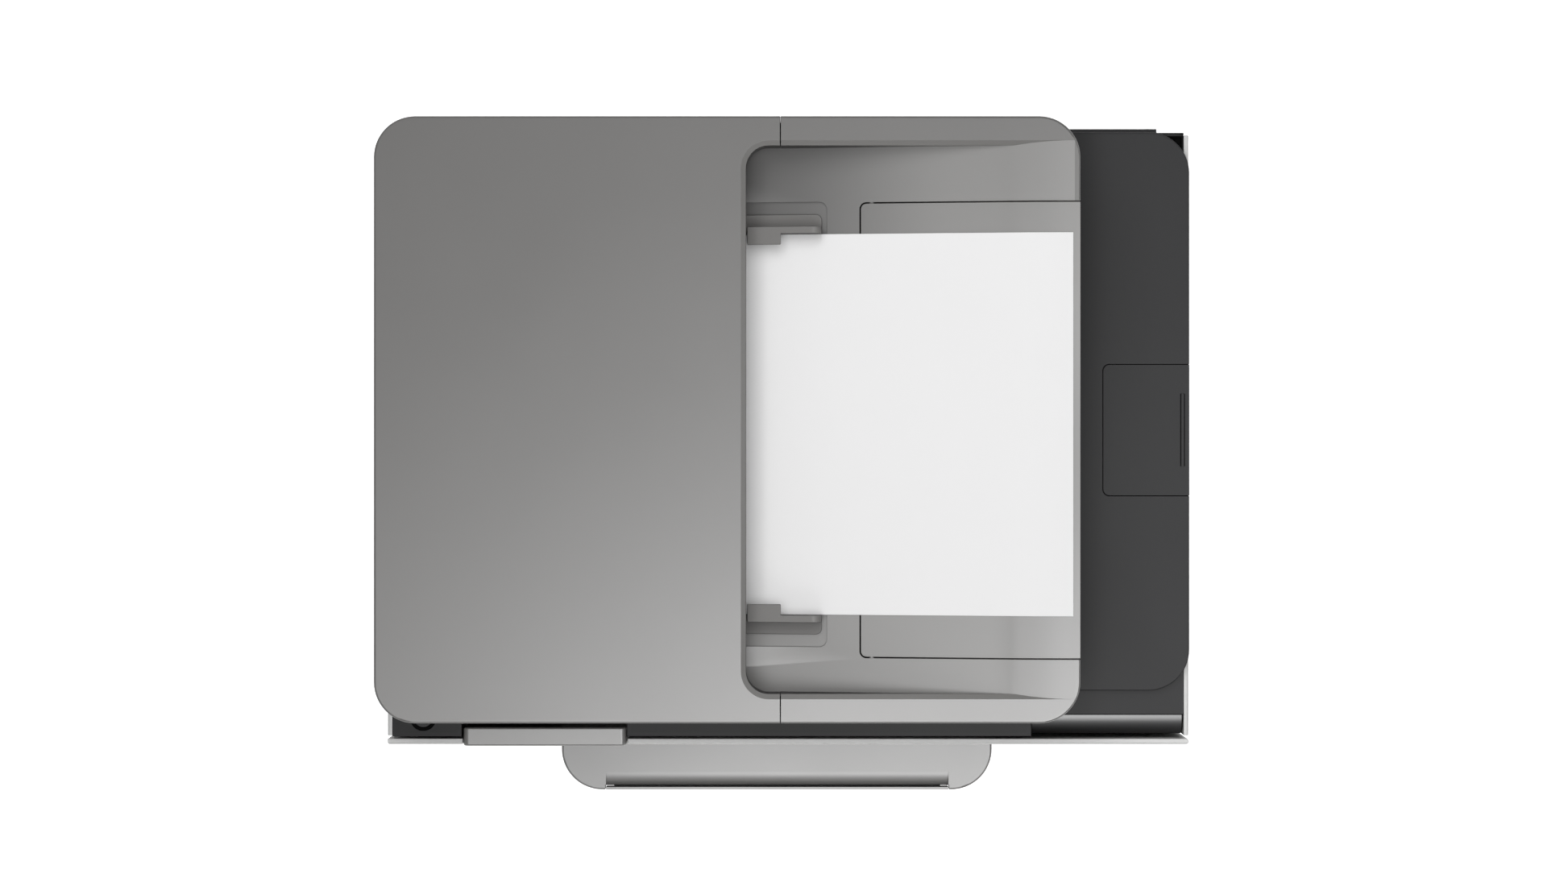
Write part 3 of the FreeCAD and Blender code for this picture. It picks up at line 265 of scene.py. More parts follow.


# A fade of painted light and shade is its start, end (millimetres) and second colour; a corner of painted
# shade is its spans along X and Y and its depth
warmGrey, lightGrey = (0.100, 0.0975, 0.094), (0.165, 0.161, 0.156)
satin = {"roughness": 0.39, "specular": 1.0, "ior": 1.6}
finishes = {
    "lidGrey": (mouldedPlastic, {
        **satin, "colour": warmGrey, "variation": 0.035, "grainScale": 1500.0, "grainStrength": 0.10}),
    # Recess floor and tray flap: a lighter copy of the lid grey as painted light against the walls' shade,
    # fading back to the lid grey towards the brow, less so at the rear, with painted shade towards the rear
    # left corner
    "flapGrey": (mouldedPlastic, {
        **satin, "colour": (0.212, 0.208, 0.203), "variation": 0.03, "roughness": 0.40,
        "grainScale": 1800.0, "grainStrength": 0.06, "fade": (108.0, 142.0, warmGrey),
        "rearSpan": (-20.0, 100.0), "rearLoss": 0.8, "corner": ((-10.0, 95.0), (-20.0, 110.0), 0.45)}),
    # Walls of the recess and of the guides: painted shade, dark on the left and lighter towards the right
    "recessWall": (mouldedPlastic, {
        "colour": (0.052, 0.051, 0.049), "variation": 0.03, "roughness": 0.6, "specular": 0.3,
        "grainScale": 1500.0, "grainStrength": 0.06, "fade": (20.0, 95.0, (0.24, 0.235, 0.228))}),
    # Rims round the recess: a lighter copy of the lid grey as a painted highlight
    "rimGrey": (mouldedPlastic, {
        "colour": (0.205, 0.201, 0.195), "variation": 0.03, "roughness": 0.5,
        "grainScale": 1500.0, "grainStrength": 0.06}),
    "guideGrey": (mouldedPlastic, {
        "colour": lightGrey, "variation": 0.03, "roughness": 0.55,
        "grainScale": 1500.0, "grainStrength": 0.08}),
    "charcoal": (mouldedPlastic, {
        "colour": (0.026, 0.026, 0.0275), "variation": 0.06, "roughness": 0.55, "specular": 0.3,
        "grainScale": 1200.0, "grainStrength": 0.16}),
    # Deck and upper housing: painted shade, darkest beside the lid and lighter from 162 to 182 mm along X
    "deckBlack": (mouldedPlastic, {
        "colour": (0.011, 0.011, 0.0117), "variation": 0.06, "roughness": 0.55, "specular": 0.3,
        "grainScale": 1200.0, "grainStrength": 0.16, "fade": (162.0, 182.0, (0.0215, 0.0215, 0.0228))}),
    # Near-black painted shade for gaps, dips and grooves
    "seamBlack": (mouldedPlastic, {
        "colour": (0.004, 0.004, 0.004), "variation": 0.05, "roughness": 0.8, "specular": 0.05,
        "grainScale": 900.0, "grainStrength": 0.05}),
    "innerBlack": (mouldedPlastic, {
        "colour": (0.018, 0.018, 0.018), "variation": 0.08, "roughness": 0.55, "specular": 0.35,
        "grainScale": 900.0, "grainStrength": 0.12}),
    "paleGrey": (mouldedPlastic, {
        "colour": (0.62, 0.62, 0.613), "variation": 0.025, "roughness": 0.42,
        "grainScale": 1600.0, "grainStrength": 0.08}),
    "trayGrey": (mouldedPlastic, {
        **satin, "colour": lightGrey, "variation": 0.03, "grainScale": 1600.0, "grainStrength": 0.08}),
    "panelGrey": (mouldedPlastic, {
        **satin, "colour": (0.185, 0.181, 0.176), "variation": 0.02,
        "grainScale": 1800.0, "grainStrength": 0.06}),
    "whiteFoam": (mouldedPlastic, {
        "colour": (0.80, 0.80, 0.79), "variation": 0.02, "roughness": 0.7, "specular": 0.2,
        "grainScale": 700.0, "grainStrength": 0.2}),
    "axleGrey": (mouldedPlastic, {
        "colour": (0.22, 0.225, 0.23), "variation": 0.04, "roughness": 0.45,
        "grainScale": 1200.0, "grainStrength": 0.08}),
    "rollerRubber": (mouldedPlastic, {
        "colour": (0.022, 0.022, 0.022), "variation": 0.1, "roughness": 0.75, "specular": 0.3,
        "grainScale": 700.0, "grainStrength": 0.3}),
    "boardGreen": (mouldedPlastic, {
        "colour": (0.015, 0.13, 0.05), "variation": 0.08, "roughness": 0.35,
        "grainScale": 400.0, "grainStrength": 0.05}),
    "corkPad": (mouldedPlastic, {
        "colour": (0.30, 0.17, 0.08), "variation": 0.25, "roughness": 0.85, "specular": 0.1,
        "grainScale": 500.0, "grainStrength": 0.5}),
    # Gloss trim: its coat, and so its sheen, is painted to grow towards the rear
    "glossBlack": (glossPlastic, {
        "colour": (0.012, 0.012, 0.013), "roughness": 0.44, "specular": 0.3, "coat": 0.95,
        "coatIor": 2.0, "coatRoughness": 0.44, "paintedSheenSpan": (-152.5, -143.5)}),
    "screenGlass": (glossPlastic, {"colour": (0.010, 0.011, 0.013), "roughness": 0.06, "coat": 1.0}),
    "zincSteel": (plainMetal, {
        "colour": (0.62, 0.63, 0.64), "roughness": 0.34, "grainScale": 260.0, "stretch": (0.15, 1.0, 1.0)}),
    "polishedSteel": (plainMetal, {
        "colour": (0.72, 0.73, 0.74), "roughness": 0.16, "grainScale": 500.0, "stretch": (0.02, 1.0, 1.0)}),
    "rollerSteel": (plainMetal, {
        "colour": (0.60, 0.61, 0.62), "roughness": 0.25, "grainScale": 500.0, "stretch": (0.05, 0.05, 1.0)}),
    "gold": (plainMetal, {"colour": (0.83, 0.62, 0.28), "roughness": 0.25, "grainScale": 400.0}),
    "windowGlass": (clearGlass, {
        "colour": (0.75, 0.82, 0.80), "roughness": 0.02, "alpha": 0.30, "coat": 0.3}),
    "paperWhite": (officePaper, {"colour": (0.83, 0.828, 0.83)}),
    "blankLabel": (officePaper, {"colour": (0.62, 0.62, 0.61)}),
    "lampWhite": (glowing, {"colour": (0.9, 0.95, 1.0), "glow": 0.5}),
    "lampGreen": (glowing, {"colour": (0.15, 0.75, 0.30), "glow": 0.6}),
    "tileBlue": (glowing, {"colour": (0.05, 0.20, 0.42), "glow": 0.35}),
    "tileGrey": (glowing, {"colour": (0.16, 0.19, 0.22), "glow": 0.3}),
}
inkLabel = {"variation": 0.05, "roughness": 0.4, "grainScale": 900.0, "grainStrength": 0.05}
inkColours = {"inkBlack": (0.02, 0.02, 0.02), "inkCyan": (0.01, 0.22, 0.45),
              "inkMagenta": (0.42, 0.02, 0.14), "inkYellow": (0.65, 0.48, 0.02)}
for ink, colour in inkColours.items():
    finishes[ink] = (mouldedPlastic, {**inkLabel, "colour": colour})
looks = {name: make(name, finish) for name, (make, finish) in finishes.items()}
print("materials made:", len(looks))

wearing = {
    "lidGrey": ("lid_base", "adf_cover", "adf_tray", "scanner_base"),
    "guideGrey": ("adf_guide_front", "adf_guide_rear"),
    # The tray flap wears the recess grey with its painted light and shade
    "flapGrey": ("tray_flap",),
    "charcoal": ("power_button", "rear_cover", "rear_door"),
    # The deck, housing and deck flap wear painted shade beside the lid
    "deckBlack": ("upper_housing", "document_deck", "document_flap"),
    "innerBlack": ("base_chassis", "platen", "service_station", "adf_frame", "adf_pick_arm", "scan_carriage",
                   "print_carriage", "output_extension", "tray_guide_left", "tray_guide_right",
                   "tray_guide_length", "power_inlet", "interface_ports", "front_usb_port",
                   "ink_cartridge_black", "ink_cartridge_cyan", "ink_cartridge_magenta",
                   "ink_cartridge_yellow"),
    "paleGrey": ("left_side_panel", "right_side_panel", "front_fascia", "front_door", "input_tray"),
    "trayGrey": ("output_tray", "paper_stop"),
    "panelGrey": ("control_panel",),
    "whiteFoam": ("lid_backing_pad",),
    "axleGrey": ("drive_pulley",),
    "rollerRubber": ("rubber_feet", "carriage_belt"),
    "rollerSteel": ("exit_roller", "adf_feed_shaft", "adf_pick_roller", "feed_roller"),
    "boardGreen": ("main_board",),
    "glossBlack": ("gloss_trim",),
    "screenGlass": ("touch_screen",),
    "zincSteel": ("mech_frame", "lid_hinge_brackets", "carriage_motor", "power_supply", "rear_screws"),
    "polishedSteel": ("carriage_rod", "scan_rail"),
    "windowGlass": ("scanner_glass", "adf_glass_strip"),
    "paperWhite": ("document_sheets",),
}
for look, names in wearing.items():
    for name in names:
        mesh = nodes[name].data
        mesh.materials.clear()
        mesh.materials.append(looks[look])


# Further looks on parts of a node, chosen by where a face lies (millimetres) and how level it is (0 to 1)
def ringTest(first, second, centre, radius):
    return lambda spot, level: math.hypot(spot[first] - centre[0], spot[second] - centre[1]) > radius


def aboveTest(axis, limit):
    return lambda spot, level: spot[axis] > limit


def belowTest(axis, limit):
    return lambda spot, level: spot[axis] < limit


anyLevel, walls, rims, tops = (-0.01, 1.01), (-0.01, 0.3), (0.5, 0.9), (0.5, 1.01)  # spans of levelness


def insideTest(low, high, levels=anyLevel):
    return lambda spot, level: (levels[0] < level < levels[1]
                                and all(low[axis] < spot[axis] < high[axis] for axis in range(3)))


recess = ((-200, -124.5, 232), (158, 176.5, 277.94))
recessRim = ((-26.2, -127.2, 275.2), (157, 179.2, 278.05))
guideZone = ((-100, -100, 230), (30, 150, 280))
rearCorner = ((196, 160, 150), (230, 196, 197))
moreLooks = [
    ("upper_housing", "seamBlack", insideTest((-214, -150, 188), (-199.3, -135, 192.9))),  # button dish, painted shade
    # painted shade in the rear corner under the deck
    ("upper_housing", "seamBlack", insideTest(*rearCorner)),
    ("rear_cover", "seamBlack", insideTest((150, 160, 150), (230, 196, 200), tops)),
    ("document_deck", "seamBlack", insideTest((177.3, -17.2, 191), (227, 58.2, 197.95))),  # flap's gap, painted shade
    # the flap's sides in its gap, painted shade
    ("document_flap", "seamBlack", insideTest((177, -18, 194), (226.6, 59, 197.9))),
    ("document_flap", "seamBlack", insideTest((221, -1, 198.1), (225, 42, 200), walls)),  # its raised bar, painted shade on its walls
    # Painted light on the recess floor, painted shade on the walls of the recess and guides, painted
    # highlight on its rims
    ("adf_tray", "flapGrey", insideTest(*recess)),
    ("adf_tray", "recessWall", insideTest(*recess, walls)),
    ("adf_tray", "rimGrey", insideTest(*recessRim, rims)),
    ("adf_cover", "recessWall", insideTest(*recess, walls)),
    ("adf_cover", "rimGrey", insideTest(*recessRim, rims)),
    ("adf_guide_front", "recessWall", insideTest(*guideZone, walls)),
    ("adf_guide_rear", "recessWall", insideTest(*guideZone, walls)),
    ("feed_roller", "rollerRubber", ringTest(1, 2, (30, 88), 4.0)),
    ("exit_roller", "axleGrey", ringTest(1, 2, (-48, 86), 4.0)),
    ("adf_pick_roller", "rollerRubber", ringTest(0, 2, (-121, 252.2), 4.0)),
    ("adf_feed_shaft", "rollerRubber", ringTest(0, 2, (-187, 252), 4.0)),
    ("main_board", "innerBlack", aboveTest(0, -212.9)),  # chips
    ("print_carriage", "zincSteel", belowTest(2, 93.0)),  # underside
    ("service_station", "rollerRubber", aboveTest(2, 89.2)),  # caps
    ("interface_ports", "zincSteel", aboveTest(1, 190.3)),
    ("front_usb_port", "zincSteel", belowTest(1, -156.6)),
]
for name, look, test in moreLooks:
    mesh = nodes[name].data
    if looks[look].name not in mesh.materials:
        mesh.materials.append(looks[look])
    index = mesh.materials.find(looks[look].name)
    for polygon in mesh.polygons:
        if test(polygon.center / mm, abs(polygon.normal.z)):
            polygon.material_index = index


# The CAD solids get small rounded edges through modifiers, so their vertices stay as packed
edgeSettings = {"width": 0.35, "join": 0.002, "segments": 2, "roundFrom": math.radians(32),
                "mergeBelow": math.radians(1.0), "normalWeight": 80}
sharpNodes = ("carriage_belt", "main_board", "document_sheets", "rear_screws")
unmergedNodes = ("input_tray", "rear_cover", "service_station", "upper_housing")  # flat faces with holes
widerEdges = {"front_door": 0.5, "input_tray": 0.6, "output_tray": 0.6, "print_carriage": 0.5,
              "power_button": 0.5, "rubber_feet": 0.6, "scan_carriage": 0.6, "control_panel": 0.4}
widerJoins = {"adf_cover": 0.05, "adf_tray": 0.05}  # their rounded edges end in slivers 0.01 wide
edgeLooks = {"document_flap": "seamBlack"}  # its rounded edges wear painted shade


def softenEdges(name, obj):
    s = edgeSettings
    mesh = obj.data
    if mesh.attributes.get("custom_normal"):
        mesh.attributes.remove(mesh.attributes["custom_normal"])
    for polygon in mesh.polygons:
        polygon.use_smooth = True
    weld = obj.modifiers.new("joinFaces", "WELD")
    weld.merge_threshold = widerJoins.get(name, s["join"]) * mm
    if name not in unmergedNodes:
        flatten = obj.modifiers.new("mergeFlats", "DECIMATE")
        flatten.decimate_type = "DISSOLVE"
        flatten.angle_limit = s["mergeBelow"]
        flatten.delimit = {"MATERIAL"}
    bevel = obj.modifiers.new("softEdge", "BEVEL")
    bevel.width = widerEdges.get(name, s["width"]) * mm
    bevel.segments = s["segments"]
    bevel.limit_method = "ANGLE"
    bevel.angle_limit = s["roundFrom"]
    bevel.harden_normals = False
    bevel.use_clamp_overlap = True
    bevel.miter_outer = "MITER_ARC"
    if name in edgeLooks:
        bevel.material = mesh.materials.find(looks[edgeLooks[name]].name)
    normals = obj.modifiers.new("evenNormals", "WEIGHTED_NORMAL")
    normals.keep_sharp = False
    normals.weight = s["normalWeight"]


for name, obj in nodes.items():
    if name not in sharpNodes:
        softenEdges(name, obj)
print("edges softened")


# Builders of blocks and round bars, each of which rides on a body
builderSettings = {"roundSteps": 3, "roundProfile": 0.5, "blockSharp": math.radians(50),
                   "barSharp": math.radians(40), "join": 0.001}


def place(name, mesh, look, body):
    mesh.materials.append(looks[look])
    obj = bpy.data.objects.new(name, mesh)
    bpy.context.scene.collection.objects.link(obj)
    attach(obj, body)
    return obj


def block(name, low, high, look, body, rounding=0.0):
    mesh = bpy.data.meshes.new(name)
    shape = bmesh.new()
    bmesh.ops.create_cube(shape, size=1.0)
    for vertex in shape.verts:
        for axis in range(3):
            vertex.co[axis] = (low[axis] if vertex.co[axis] < 0 else high[axis]) * mm
    if rounding:
        bmesh.ops.bevel(shape, geom=shape.edges[:], offset=rounding * mm, affect="EDGES",
                        segments=builderSettings["roundSteps"], profile=builderSettings["roundProfile"])
    bmesh.ops.recalc_face_normals(shape, faces=shape.faces)
    shape.to_mesh(mesh)
    shape.free()
    for polygon in mesh.polygons:
        polygon.use_smooth = bool(rounding)
    if rounding:
        mesh.set_sharp_from_angle(angle=builderSettings["blockSharp"])
    return place(name, mesh, look, body)


def roundBar(name, axis, start, end, centre, radius, look, body, sides, rounding=0.0):
    others = [number for number in range(3) if number != axis]
    steps = [(start, radius - rounding), (start + rounding, radius),
             (end - rounding, radius), (end, radius - rounding)]
    points, faces = [], []
    for along, wide in steps:
        for i in range(sides):
            angle = 2 * math.pi * i / sides
            spot = [0.0, 0.0, 0.0]
            spot[axis] = along
            spot[others[0]] = centre[0] + wide * math.cos(angle)
            spot[others[1]] = centre[1] + wide * math.sin(angle)
            points.append(Vector(spot) * mm)
    for ring in range(len(steps) - 1):
        for i in range(sides):
            a, b = ring * sides + i, ring * sides + (i + 1) % sides
            faces.append((a, b, b + sides, a + sides))
    faces.append(tuple(reversed(range(sides))))
    faces.append(tuple(range((len(steps) - 1) * sides, len(steps) * sides)))
    mesh = bpy.data.meshes.new(name)
    mesh.from_pydata(points, [], faces)
    shape = bmesh.new()
    shape.from_mesh(mesh)
    bmesh.ops.remove_doubles(shape, verts=shape.verts, dist=builderSettings["join"] * mm)
    bmesh.ops.recalc_face_normals(shape, faces=shape.faces)
    shape.to_mesh(mesh)
    shape.free()
    for polygon in mesh.polygons:
        polygon.use_smooth = True
    mesh.set_sharp_from_angle(angle=builderSettings["barSharp"])
    return place(name, mesh, look, body)


# The sheets in the feeder follow the ramp. One half rides on the lid and the other on the tray flap.
sheetLow, sheetHigh = corners("document_sheets")
sheetSettings = {"left": sheetLow[0], "split": 40.0, "right": sheetHigh[0], "front": sheetLow[1],
                 "rear": sheetHigh[1], "hem": 3.0, "rows": (-40, 0, 23.5, 47, 90), "step": 4.0,
                 "under": 0.2, "thick": 0.75, "footX": -45.0, "footZ": 241.6, "slope": 0.2,
                 "endX": 116.75, "browX": 156.75, "browZ": 277.95}


def rampHeight(x):
    s = sheetSettings
    if x <= s["footX"]:
        return s["footZ"]
    if x <= s["endX"]:
        return s["footZ"] + s["slope"] * (x - s["footX"])
    if x >= s["browX"]:
        return s["browZ"]
    return s["browZ"] - s["slope"] / (2 * (s["browX"] - s["endX"])) * (s["browX"] - x) ** 2


def sheetPart(name, left, right, body):
    s = sheetSettings
    count = int((right - left) / s["step"])
    across = [s["front"], s["front"] + s["hem"], *s["rows"], s["rear"] - s["hem"], s["rear"]]
    points, faces = [], []
    for layer in (0, 1):
        for i in range(count + 1):
            x = left + (right - left) * i / count
            for y in across:
                points.append(Vector((x, y, rampHeight(x) + s["under"] + layer * s["thick"])) * mm)
    wide, size = len(across), (count + 1) * len(across)
    for i in range(count):
        for j in range(wide - 1):
            a = i * wide + j
            low = (a, a + 1, a + wide + 1, a + wide)
            faces.append(low)
            faces.append(tuple(size + k for k in reversed(low)))
    rim = list(range(wide)) + [i * wide + wide - 1 for i in range(1, count + 1)]
    rim += [count * wide + j for j in range(wide - 2, -1, -1)] + [i * wide for i in range(count - 1, 0, -1)]
    for here, following in zip(rim, rim[1:] + rim[:1]):
        faces.append((following, here, here + size, following + size))
    mesh = bpy.data.meshes.new(name)
    mesh.from_pydata(points, [], faces)
    obj = place(name, mesh, "paperWhite", body)
    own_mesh(obj)
    return obj


lowerSheets = sheetPart("feederSheetsLower", sheetSettings["left"], sheetSettings["split"], "lid")
sheetPart("feederSheetsUpper", sheetSettings["split"], sheetSettings["right"], "tray_flap")
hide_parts("document_sheets")
print("sheets laid in the feeder")


# Thin strips in the seam between the feeder cover and the tray, so no light shows through its ends
seamSettings = {"coverSide": (-4.62, -4.36), "traySide": (-4.24, -3.98), "height": (229.0, 276.9),
                "ends": {"Front": (-139.9, -136.8), "Rear": (188.8, 191.9)}}


def seamDetails():
    s = seamSettings
    low, high = s["height"]
    for end, (front, rear) in s["ends"].items():
        for side, body in (("coverSide", "adf_cover"), ("traySide", "lid")):
            left, right = s[side]
            block(f"{side}Strip{end}", (left, front, low), (right, rear, high), "innerBlack", body)


# Dark lines of painted shade along the raised bar of the deck flap
flapSettings = {"front": 0.1, "rear": 41.0, "sides": {"Left": (221.6, 222.1), "Right": (223.6, 224.1)},
                "top": corners("document_flap")[1][2], "sunk": 0.3, "proud": 0.05}


def flapDetails():
    s = flapSettings
    low, high = s["top"] - s["sunk"], s["top"] + s["proud"]
    for side, (left, right) in s["sides"].items():
        block(f"barShadeLine{side}", (left, s["front"], low), (right, s["rear"], high),
              "seamBlack", "document_flap")


# The status lamp on the fascia, and blank tiles and a bar on the touch screen
frontSettings = {"lamp": (-206.0, 172.0), "lampRadius": 1.1, "lampSides": 24, "lampRounding": 0.2,
                 "skin": corners("front_fascia")[0][1], "lampProud": 0.35, "lampSunk": 1.0,
                 "screen": corners("touch_screen")[0][1], "tileProud": 0.06, "tileSunk": 0.3,
                 "tileFirst": (-170.5, 166.5), "tilePitch": (21.5, 19.0), "tileSize": (15.5, 12.5),
                 "tileRows": 2, "tileColumns": 3, "barSpan": (-150, -125), "barHeight": (134.6, 135.8)}


def frontDetails():
    s = frontSettings
    roundBar("statusLamp", 1, s["skin"] - s["lampProud"], s["skin"] + s["lampSunk"], s["lamp"],
             s["lampRadius"], "lampGreen", "base", s["lampSides"], s["lampRounding"])
    front, rear = s["screen"] - s["tileProud"], s["screen"] + s["tileSunk"]
    wide, high = s["tileSize"][0] / 2, s["tileSize"][1] / 2
    for row in range(s["tileRows"]):
        for column in range(s["tileColumns"]):
            x = s["tileFirst"][0] + column * s["tilePitch"][0]
            z = s["tileFirst"][1] - row * s["tilePitch"][1]
            look = "tileBlue" if (row + column) % 2 == 0 else "tileGrey"
            block(f"screenTile{row}{column}", (x - wide, front, z - high), (x + wide, rear, z + high),
                  look, "control_panel")
    (left, right), (low, high) = s["barSpan"], s["barHeight"]
    block("screenBar", (left, front, low), (right, rear, high), "lampWhite", "control_panel")


# Latches, a blank plate and the contacts in the sockets
rearSettings = {"face": corners("rear_cover")[1][1], "latches": (-72, 72), "latchWide": 9,
                "latchHeight": (139, 145), "latchSunk": 0.6, "latchProud": 0.7, "latchRounding": 0.5,
                "plateSpan": (-60, 45), "plateHeight": (160, 182), "plateSunk": 0.2, "plateProud": 0.12,
                "pins": 8, "pinFirst": -194.6, "pinPitch": 1.03, "pinWide": 0.25, "pinDepth": (180.0, 188.5),
                "pinHeight": (72.2, 72.7), "tongue": ((-170.3, 180.5, 74.2), (-165.7, 188.5, 76.4)),
                "tongueRounding": 0.2, "dataPins": 4, "dataFirst": -169.9, "dataPitch": 2.6, "dataWide": 1.0,
                "dataDepth": (181.0, 188.0), "dataHeights": ((74.0, 74.25), (76.35, 76.6))}


def rearDetails():
    s = rearSettings
    front, rear = s["face"] - s["latchSunk"], s["face"] + s["latchProud"]
    low, high = s["latchHeight"]
    for number, x in enumerate(s["latches"]):
        block(f"rearDoorLatch{number}", (x - s["latchWide"], front, low), (x + s["latchWide"], rear, high),
              "charcoal", "rear_door", s["latchRounding"])
    (left, right), (low, high) = s["plateSpan"], s["plateHeight"]
    block("blankPlate", (left, s["face"] - s["plateSunk"], low), (right, s["face"] + s["plateProud"], high),
          "blankLabel", "base")
    (front, rear), (low, high) = s["pinDepth"], s["pinHeight"]
    for number in range(s["pins"]):
        x = s["pinFirst"] + number * s["pinPitch"]
        block(f"networkPin{number}", (x - s["pinWide"], front, low), (x + s["pinWide"], rear, high),
              "gold", "base")
    block("dataTongue", *s["tongue"], "paleGrey", "base", s["tongueRounding"])
    front, rear = s["dataDepth"]
    for number in range(s["dataPins"]):  # two below the tongue and two above it
        left = s["dataFirst"] + s["dataPitch"] * (number % 2)
        low, high = s["dataHeights"][number // 2]
        block(f"dataPin{number}", (left, front, low), (left + s["dataWide"], rear, high), "gold", "base")


# Trays: ribs and a grip pad
traySettings = {"outRibs": (-96, -64, -32, 0, 32, 64), "outWide": 0.9, "outSpan": (-150, -66),
                "outTop": corners("output_tray")[1][2], "outSunk": 0.4, "outProud": 0.7, "outRounding": 0.35,
                "inRibs": (-84, -42, 42, 84), "inWide": 0.8, "inSpan": (-110, 160), "inFloor": 11.6,
                "inSunk": 0.3, "inProud": 0.15, "inRounding": 0.1,
                "padSpan": (-26, 14), "padDepth": (128, 158), "padSunk": 0.2, "padProud": 0.18}


def trayDetails():
    s = traySettings
    (front, rear), low, high = s["outSpan"], s["outTop"] - s["outSunk"], s["outTop"] + s["outProud"]
    for number, x in enumerate(s["outRibs"]):
        block(f"outputRib{number}", (x - s["outWide"], front, low), (x + s["outWide"], rear, high),
              "trayGrey", "base", s["outRounding"])
    (front, rear), low, high = s["inSpan"], s["inFloor"] - s["inSunk"], s["inFloor"] + s["inProud"]
    for number, x in enumerate(s["inRibs"]):
        block(f"inputRib{number}", (x - s["inWide"], front, low), (x + s["inWide"], rear, high),
              "paleGrey", "input_tray", s["inRounding"])
    (left, right), (front, rear) = s["padSpan"], s["padDepth"]
    block("inputPad", (left, front, s["inFloor"] - s["padSunk"]), (right, rear, s["inFloor"] + s["padProud"]),
          "corkPad", "input_tray", s["inRounding"])


# Cartridges: colour labels and grip ribs
cartridgeSettings = {"inks": ("black", "cyan", "magenta", "yellow"), "face": -66.0, "margin": 3,
                     "topSpan": (-52, -8), "topSunk": 0.1, "topProud": 0.12,
                     "frontHeight": (108, 123), "frontSunk": 0.1, "frontProud": 0.12,
                     "ribs": 3, "ribFirst": 128.5, "ribPitch": 3.5, "ribHigh": 1.2, "ribMargin": 4,
                     "ribSpan": (-6.35, -5.8), "ribRounding": 0.15}


def cartridgeDetails():
    s = cartridgeSettings
    for colour in s["inks"]:
        look, body = "ink" + colour.title(), f"ink_cartridge_{colour}"
        (leftSide, _, _), (rightSide, _, top) = corners(body)
        left, right = leftSide + s["margin"], rightSide - s["margin"]
        front, rear = s["topSpan"]
        block(f"{colour}TopLabel", (left, front, top - s["topSunk"]), (right, rear, top + s["topProud"]),
              look, body)
        low, high = s["frontHeight"]
        front, rear = s["face"] - s["frontProud"], s["face"] + s["frontSunk"]
        block(f"{colour}FrontLabel", (left, front, low), (right, rear, high), look, body)
        left, right = leftSide + s["ribMargin"], rightSide - s["ribMargin"]
        front, rear = (s["face"] + depth for depth in s["ribSpan"])
        for rib in range(s["ribs"]):
            low = s["ribFirst"] + rib * s["ribPitch"]
            block(f"{colour}GripRib{rib}", (left, front, low), (right, rear, low + s["ribHigh"]),
                  "innerBlack", body, s["ribRounding"])


# Carriage: nozzle rows under it and a latch on its front
carriageSettings = {"rows": 7, "rowFirst": 122, "rowPitch": 11, "rowWide": 1.2, "rowSpan": (-28, -6),
                    "rowHeight": (91.88, 92.1), "latch": ((136, -66.3, 98), (174, -65.6, 104)),
                    "latchRounding": 0.3}


def carriageDetails():
    s = carriageSettings
    (front, rear), (low, high) = s["rowSpan"], s["rowHeight"]
    for number in range(s["rows"]):
        x = s["rowFirst"] + number * s["rowPitch"]
        block(f"nozzleRow{number}", (x, front, low), (x + s["rowWide"], rear, high),
              "innerBlack", "print_carriage")
    block("carriageLatch", *s["latch"], "axleGrey", "print_carriage", s["latchRounding"])


# Scanner: the lamp and the slit on its carriage, the slit a dark strip of painted shade, the white reference
# strip and ribs on the floor
scannerSettings = {"top": corners("scan_carriage")[1][2], "sunk": 0.1, "depth": (-98, 138),
                   "lampSpan": (-213.6, -211.6), "lampProud": 0.3, "lampRounding": 0.1,
                   "slitSpan": (-209.8, -208.6), "slitProud": 0.1,
                   "reference": ((-195.9, -94.8, 217.2), (-192.5, 134.8, 217.35)),
                   "ribs": (-150, -60, 40), "ribWide": 1, "ribSpan": (-125, 10), "ribHeight": (198.9, 200.4),
                   "ribRounding": 0.3}


def scannerDetails():
    s = scannerSettings
    (front, rear), low = s["depth"], s["top"] - s["sunk"]
    left, right = s["lampSpan"]
    block("scanLamp", (left, front, low), (right, rear, s["top"] + s["lampProud"]),
          "lampWhite", "scan_carriage", s["lampRounding"])
    left, right = s["slitSpan"]
    block("scanSlitShade", (left, front, low), (right, rear, s["top"] + s["slitProud"]),
          "glossBlack", "scan_carriage")
    block("whiteReference", *s["reference"], "whiteFoam", "base")
    (front, rear), (low, high) = s["ribSpan"], s["ribHeight"]
    for number, x in enumerate(s["ribs"]):
        block(f"scanFloorRib{number}", (x - s["ribWide"], front, low), (x + s["ribWide"], rear, high),
              "innerBlack", "base", s["ribRounding"])


# Feeder: ribs under the cover's roof, the separator pad and the teeth of the drive gear
feederSettings = {"ribs": (-70, -42, -12, 59, 89, 117), "ribWide": 0.8, "ribSpan": (-205, -40),
                  "ribHeight": (271.5, 275.2), "ribRounding": 0.3,
                  "pad": ((-128, 3, 241.4), (-112, 44, 241.75)), "padRounding": 0.1,
                  "teeth": 24, "gear": (-187.0, 252.0), "gearSpan": (-112.3, -106.2),
                  "toothReach": 10.25, "toothRadius": 0.75, "toothSides": 8}


